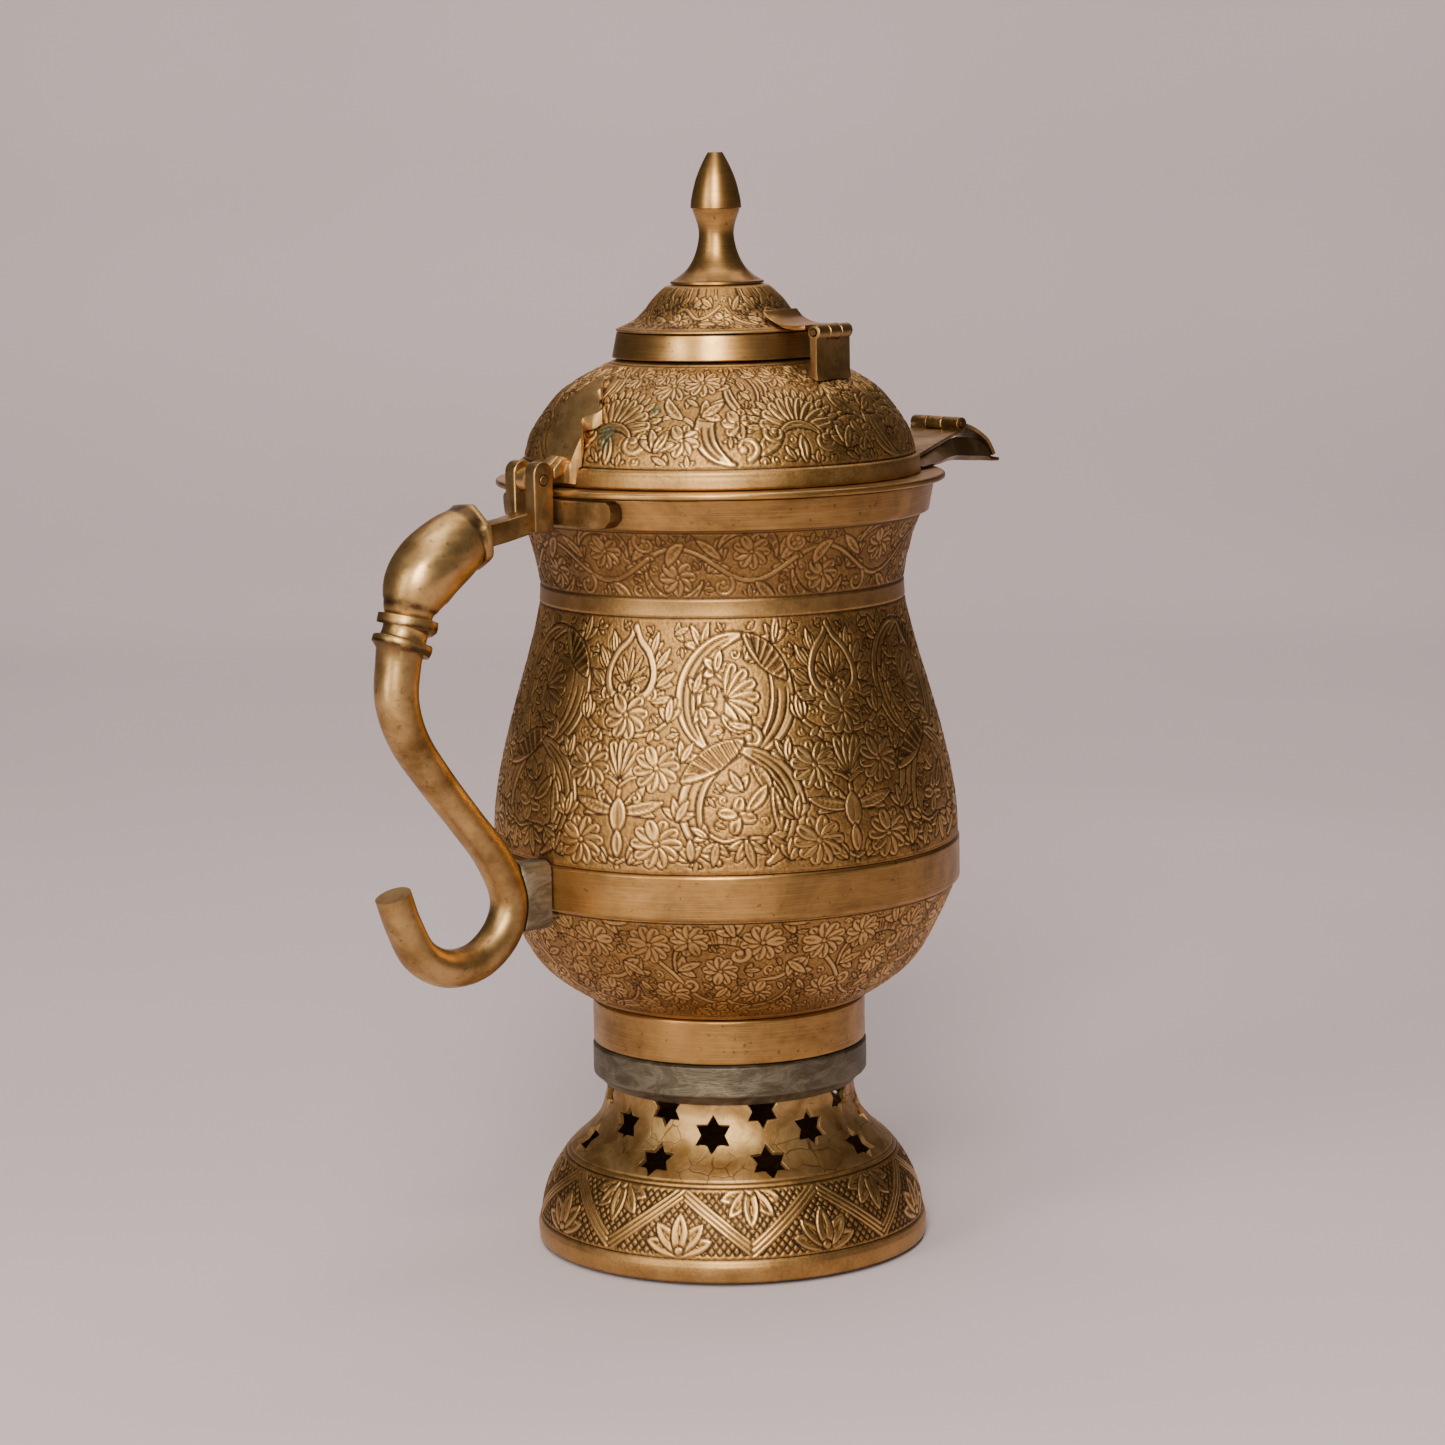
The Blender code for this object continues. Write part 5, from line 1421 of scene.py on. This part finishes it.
class KALASH_OT_spout(bpy.types.Operator):
    """Channel spout with its roof plate, hinge pin and the flap over the beak"""
    bl_idname = "kalash.spout"
    bl_label = "Spout and Flap"

    STATIONS = [(40.0, 29.4, 200.6, 32.9, 198.95), (46.0, 26.0, 201.2, 30.0, 198.95),
                (52.0, 22.6, 201.8, 27.0, 198.95), (57.0, 19.3, 202.3, 23.5, 198.85),
                (62.0, 16.2, 202.7, 20.0, 198.7), (69.0, 12.0, 203.4, 14.6, 198.2),
                (75.0, 8.9, 203.7, 10.7, 197.6), (80.0, 7.8, 203.3, 9.2, 197.1),
                (86.0, 6.2, 201.7, 6.8, 196.6), (89.4, 5.3, 199.9, 5.8, 196.3),
                (91.2, 4.9, 197.4, 5.1, 196.1), (94.6, 4.5, 196.8, 4.4, 195.9)]

    def execute(self, context):
        look = context.scene.kalash_finishes
        fx, fz = JOINTS["flap_hinge"][0] - AXIS_X, JOINTS["flap_hinge"][2]
        ob = loft("spout_shell_cast", [self.section(*s) for s in self.STATIONS])
        with editing(ob) as bm:
            bmesh.ops.triangulate(bm, faces=bm.faces, ngon_method="EAR_CLIP")
        clear = [(0.5, 215), (0.5, 190), (51.65, 190), (51.65, 198.0), (49.05, 215)]
        boolean(ob, ring_loop("clear", clear[::-1], 360, 30, soft=0.01))
        crisp(ob, 28)
        add_piece(ob, cast_finish("spout_brass", look, 0.62, 0.6), "lid", "cast_brass",
                  "spout_shell")
        plates = [[(x, -w, z), (x, w, z), (x, w, z + 0.9), (x, -w, z + 0.9)]
                  for x, w, z in ((40.0, 29.9, 200.95), (57.5, 19.3, 202.75), (75.1, 9.1, 204.55))]
        ob = loft("spout_roof_plate", plates)
        boolean(ob, ring_loop("clear", clear[::-1], 360, 30, soft=0.01))
        for side in (-1, 1):
            boolean(ob, rod("knuckle", (fx, side * 6.1, fz), 3.0, 1.85, segments=32), "UNION")
            tongue = prism("tongue", [(fx - 1.7, 204.7), (fx + 0.3, 204.7), (fx + 0.3, 206.3),
                                      (fx - 1.7, 206.3)], side * 6.1 - 3, side * 6.1 + 3)
            boolean(ob, tongue, "UNION")
        boolean(ob, rod("bore", (fx, 0, fz), 12, 1.1, segments=24))
        boolean(ob, rod("clearance", (fx, 0, fz), 3.0, 2.25, segments=32))
        round_edges(ob, 0.12, 2, 50)
        add_piece(ob, cast_finish("spout_roof_brass", look, 0.75, 0.45), "lid", "cast_brass",
                  "spout_roof")
        pin = rod("spout_hinge_pin_round", (fx, 0, fz), 9.3, 0.8, segments=24)
        add_piece(pin, cast_finish("spout_pin_brass", look, 0.55), "lid", "dark_brass",
                  "spout_hinge_pin")
        ob = self.flap(fx, fz)
        add_piece(ob, cast_finish("flap_brass", look, 0.95, 0.2), "flap", "cast_brass",
                  "spout_flap")
        return {"FINISHED"}

    @staticmethod
    def section(x, top_w, top_z, low_w, low_z):
        lean = (low_w - top_w) / (top_z - low_z)
        wall = 0.9 * math.hypot(1.0, lean)
        corner = min(1.3, 0.3 * (top_z - low_z))
        floor = low_z + 0.8
        outer = [(top_w, top_z), (low_w, low_z + corner), (low_w - corner, low_z)]
        inner = [(top_w - wall, top_z), (low_w - wall - 0.1, floor + 0.4 * corner),
                 (low_w - wall - 0.6 * corner, floor)]
        return ([(x, -w, z) for w, z in outer] + [(x, w, z) for w, z in reversed(outer)]
                + [(x, w, z) for w, z in inner] + [(x, -w, z) for w, z in reversed(inner)])

    @staticmethod
    def flap(fx, fz):
        top = smooth_line([(77.2, 208.3, 2.7), (79.2, 207.4, 6.9), (82.7, 206.1, 7.3),
                           (87.6, 203.9, 5.9), (90.4, 202.0, 5.2), (92.3, 199.6, 4.8),
                           (93.3, 198.2, 4.5)], 0.8)
        n = line_normals(top[:, :2])
        low = top[:, :2] - n * 1.2
        across = np.linspace(-1, 1, 15)
        rings = []
        for (x, z, w), (lx, lz) in zip(top, low):
            crown = 0.25 * (1 - across ** 2)
            rings.append([(x, w * a, z - 0.25 + c) for a, c in zip(across, crown)]
                         + [(lx, w * a, lz) for a in across[::-1]])
        ob = loft("spout_flap_plate", rings)
        boolean(ob, rod("knuckle", (fx, 0, fz), 2.7, 1.85, segments=32), "UNION")
        boolean(ob, rod("bore", (fx, 0, fz), 4, 1.1, segments=24))
        for side in (-1, 1):
            boolean(ob, rod("relief", (fx, side * 6.5, fz), 3.5, 2.25, segments=32))
        return crisp(ob, 38)


CAP_HINGE_REACH = 35.0                    # from the pot's axis to the hinge pin, millimetres
CAP_HINGE_TURN = math.radians(-77.0)


class KALASH_OT_cap_hinge(bpy.types.Operator):
    """Small side hinge of the cap: bracket on the dome and pin"""
    bl_idname = "kalash.cap_hinge"
    bl_label = "Cap Hinge"

    def execute(self, context):
        look = context.scene.kalash_finishes
        bx, bz = CAP_HINGE_REACH, JOINTS["cap_hinge"][2]
        turn = Matrix.Rotation(CAP_HINGE_TURN, 4, "Z")
        outline = [(bx - 1.3, bz - 0.6), (bx - 1.1, 224.2), (bx - 1.6, 223.4), (bx + 1.2, 223.4),
                   (bx + 0.9, 226.0), (bx + 0.9, bz - 0.6)]
        ob = prism("cap_hinge_post", outline, -7.2, 7.2)
        round_edges(ob, 0.2, 2)
        ob.data.transform(turn)
        seat = np.array([(27.9, 227.5)] + DOME_LINE[1:])
        seat = seat + line_normals(seat) * 0.35
        boolean(ob, ring_loop("seat", [(0.5, 232.0), (20.0, 232.0)] + [tuple(p) for p in seat]
                              + [(0.5, 203.0)], 256, 3.0, soft=0.01))
        for side in (-1, 1):
            knuckle = rod("knuckle", (bx, side * 4.9, bz), 2.3, 1.85, segments=32)
            knuckle.data.transform(turn)
            boolean(ob, knuckle, "UNION")
        for tool in (rod("bore", (bx, 0, bz), 12, 1.1, segments=24),
                     rod("clearance", (bx, 0, bz), 2.64, 2.25, segments=32)):
            tool.data.transform(turn)
            boolean(ob, tool)
        crisp(ob, 40)
        add_piece(ob, cast_finish("cap_bracket_brass", look, 0.85, 0.3), "lid", "cast_brass",
                  "cap_hinge_bracket")
        pin = rod("cap_hinge_pin_round", (bx, 0, bz), 7.5, 0.8, segments=24)
        pin.data.transform(turn)
        add_piece(pin, cast_finish("cap_pin_brass", look, 0.6), "lid", "dark_brass",
                  "cap_hinge_pin")
        return {"FINISHED"}


class KALASH_OT_cap_strap(bpy.types.Operator):
    """Strap from the shoulder of the cap to its hinge knuckle"""
    bl_idname = "kalash.cap_strap"
    bl_label = "Cap Strap"

    def execute(self, context):
        look = context.scene.kalash_finishes
        bx, bz = CAP_HINGE_REACH, JOINTS["cap_hinge"][2]
        turn = Matrix.Rotation(CAP_HINGE_TURN, 4, "Z")
        top = smooth_line([(19.6, 240.7), (21.8, 238.6), (25.2, 237.3), (29.0, 237.0),
                           (32.4, 237.2)], 0.5)
        low = [(32.4, 236.0), (29.0, 235.9), (26.3, 236.2), (25.2, 236.55), (21.7, 238.15),
               (19.4, 239.95)]
        ob = prism("cap_strap_sheet", [tuple(p) for p in top] + low, -7.2, 7.2)
        round_edges(ob, 0.2, 2)
        tongue = prism("tongue", [(30.5, 237.1), (bx, bz + 1.85), (bx, bz + 0.9), (30.5, 236.0)],
                       -2.2, 2.2)
        boolean(ob, tongue, "UNION")
        boolean(ob, rod("knuckle", (bx, 0, bz), 2.3, 1.85, segments=32), "UNION")
        boolean(ob, rod("bore", (bx, 0, bz), 4, 1.1, segments=24))
        ob.data.transform(turn)
        seat = np.array([(12.8, 246.4), (13.6, 246.1), (16.4, 243.4), (19.0, 240.2), (21.6, 237.9),
                         (25.9, 235.9)])
        seat = seat + line_normals(seat) * 0.33
        boolean(ob, ring_loop("seat", [(0.5, 247.2), (12.0, 247.2)] + [tuple(p) for p in seat]
                              + [(26.25, 235.0), (0.5, 235.0)], 256, 3.0, soft=0.01))
        crisp(ob, 40)
        add_piece(ob, plain_finish("cap_strap_brass", look, 0.95, 0.0), "cap", "plain_brass",
                  "cap_strap")
        return {"FINISHED"}


class KALASH_OT_stage(bpy.types.Operator):
    """Pale paper floor that rises behind the pot, soft lights and the camera"""
    bl_idname = "kalash.stage"
    bl_label = "Studio Stage"

    def execute(self, context):
        st = context.scene.kalash_stage
        az = math.radians(-40)
        # floor and backdrop: one sheet that narrows where it rises behind the pot
        line = [(-4.0, 0.0), (-0.8, 0.0), (0.9, 0.0), (1.3, 0.03), (1.65, 0.2), (1.85, 0.6),
                (1.9, 2.2)]
        path = smooth_line(line, 0.05)
        across = np.linspace(-1, 1, 9)
        fwd = np.array((-math.sin(az), math.cos(az)))
        side = np.array((fwd[1], -fwd[0]))
        places = np.zeros((len(path), len(across), 3))
        for i, (d, z) in enumerate(path):
            half = 4.0 + (0.62 - 4.0) * min(max((d - 0.9) / 0.6, 0.0), 1.0)
            for j, w in enumerate(across):
                places[i, j] = (*(fwd * d + side * w * half), z)
        floor = grid_object("stage_floor", places / MM, closed_rows=False, closed_columns=False)
        f = Finish("stage_paper")
        cloud = f.noise(2.2, 3)
        fibre = f.noise(900, 3, 0.7)
        f.set(Base_Color=f.mix(cloud.over(0.3, 0.7), shade(st.floor, 0.97), shade(st.floor, 1.03)),
              Roughness=0.92 + (fibre - 0.5) * 0.05)
        put_on(floor, f)
        self.light("key_softbox", (-0.96, -0.98, 0.85), (0, 0, 0.14), 0.42, 0.95, st.key_power,
                   (1.0, 0.965, 0.92))
        self.light("left_softbox", (-1.5, -0.15, 0.6), (0, 0, 0.13), 0.4, 1.1, st.key_power * 0.36,
                   (1.0, 0.975, 0.95))
        self.light("top_softbox", (-0.1, -0.1, 1.6), (0, 0, 0.1), 0.8, 0.8, st.key_power * 0.30,
                   (1.0, 0.97, 0.95))
        self.light("backdrop_light", tuple(fwd * 0.75) + (1.7,), tuple(fwd * 1.75) + (0.45,), 1.8,
                   0.5, st.key_power * 0.60, (1.0, 0.915, 0.89))
        world = bpy.data.worlds.new("studio")
        world.use_nodes = True
        back = world.node_tree.nodes["Background"]
        back.inputs["Color"].default_value = (0.80, 0.74, 0.72, 1)
        back.inputs["Strength"].default_value = st.world
        context.scene.world = world
        data = bpy.data.cameras.new("studio_camera")
        data.lens = st.lens
        data.sensor_width = 36.0
        data.shift_x = -0.001384
        data.clip_start = 0.01
        camera = placed("studio_camera", data)
        camera.matrix_world = (Matrix.Translation((-0.6326, -0.7630, 0.2844))
                               @ Matrix.Rotation(az, 4, "Z")
                               @ Matrix.Rotation(math.radians(81.43), 4, "X")
                               @ Matrix.Rotation(math.radians(-0.95), 4, "Z"))
        context.scene.camera = camera
        return {"FINISHED"}

    @staticmethod
    def light(name, at, to, width, height, power, color):
        data = bpy.data.lights.new(name, "AREA")
        data.shape = "RECTANGLE"
        data.size, data.size_y, data.energy, data.color = width, height, power, color
        ob = placed(name, data)
        ob.location = at
        ob.rotation_euler = (Vector(to) - Vector(at)).to_track_quat("-Z", "Y").to_euler()


class KALASH_PT_panel(bpy.types.Panel):
    """Buttons that build the ewer piece by piece"""
    bl_idname = "KALASH_PT_panel"
    bl_label = "Brass Kalash Ewer"
    bl_space_type = "VIEW_3D"
    bl_region_type = "UI"
    bl_category = "Kalash"

    def draw(self, context):
        scene, layout = context.scene, self.layout
        for group in (scene.kalash_sizes, scene.kalash_finishes, scene.kalash_stage):
            box = layout.box()
            for key in group.__annotations__:
                box.prop(group, key)
        for operator in OPERATORS:
            layout.operator(operator.bl_idname)


OPERATORS = (KALASH_OT_body, KALASH_OT_bands, KALASH_OT_foot, KALASH_OT_lid, KALASH_OT_cap,
             KALASH_OT_handle, KALASH_OT_strap, KALASH_OT_spout, KALASH_OT_cap_hinge,
             KALASH_OT_cap_strap, KALASH_OT_stage)
CLASSES = (KalashSizes, KalashFinishes, KalashStage) + OPERATORS + (KALASH_PT_panel,)


def register():
    for cls in CLASSES:
        bpy.utils.register_class(cls)
    bpy.types.Scene.kalash_sizes = PointerProperty(type=KalashSizes)
    bpy.types.Scene.kalash_finishes = PointerProperty(type=KalashFinishes)
    bpy.types.Scene.kalash_stage = PointerProperty(type=KalashStage)


def unregister():
    del bpy.types.Scene.kalash_stage
    del bpy.types.Scene.kalash_finishes
    del bpy.types.Scene.kalash_sizes
    for cls in reversed(CLASSES):
        bpy.utils.unregister_class(cls)


def main():
    register()
    for operator in OPERATORS:
        group, name = operator.bl_idname.split(".")
        getattr(getattr(bpy.ops, group), name)()
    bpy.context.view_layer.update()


if __name__ == "__main__":
    main()
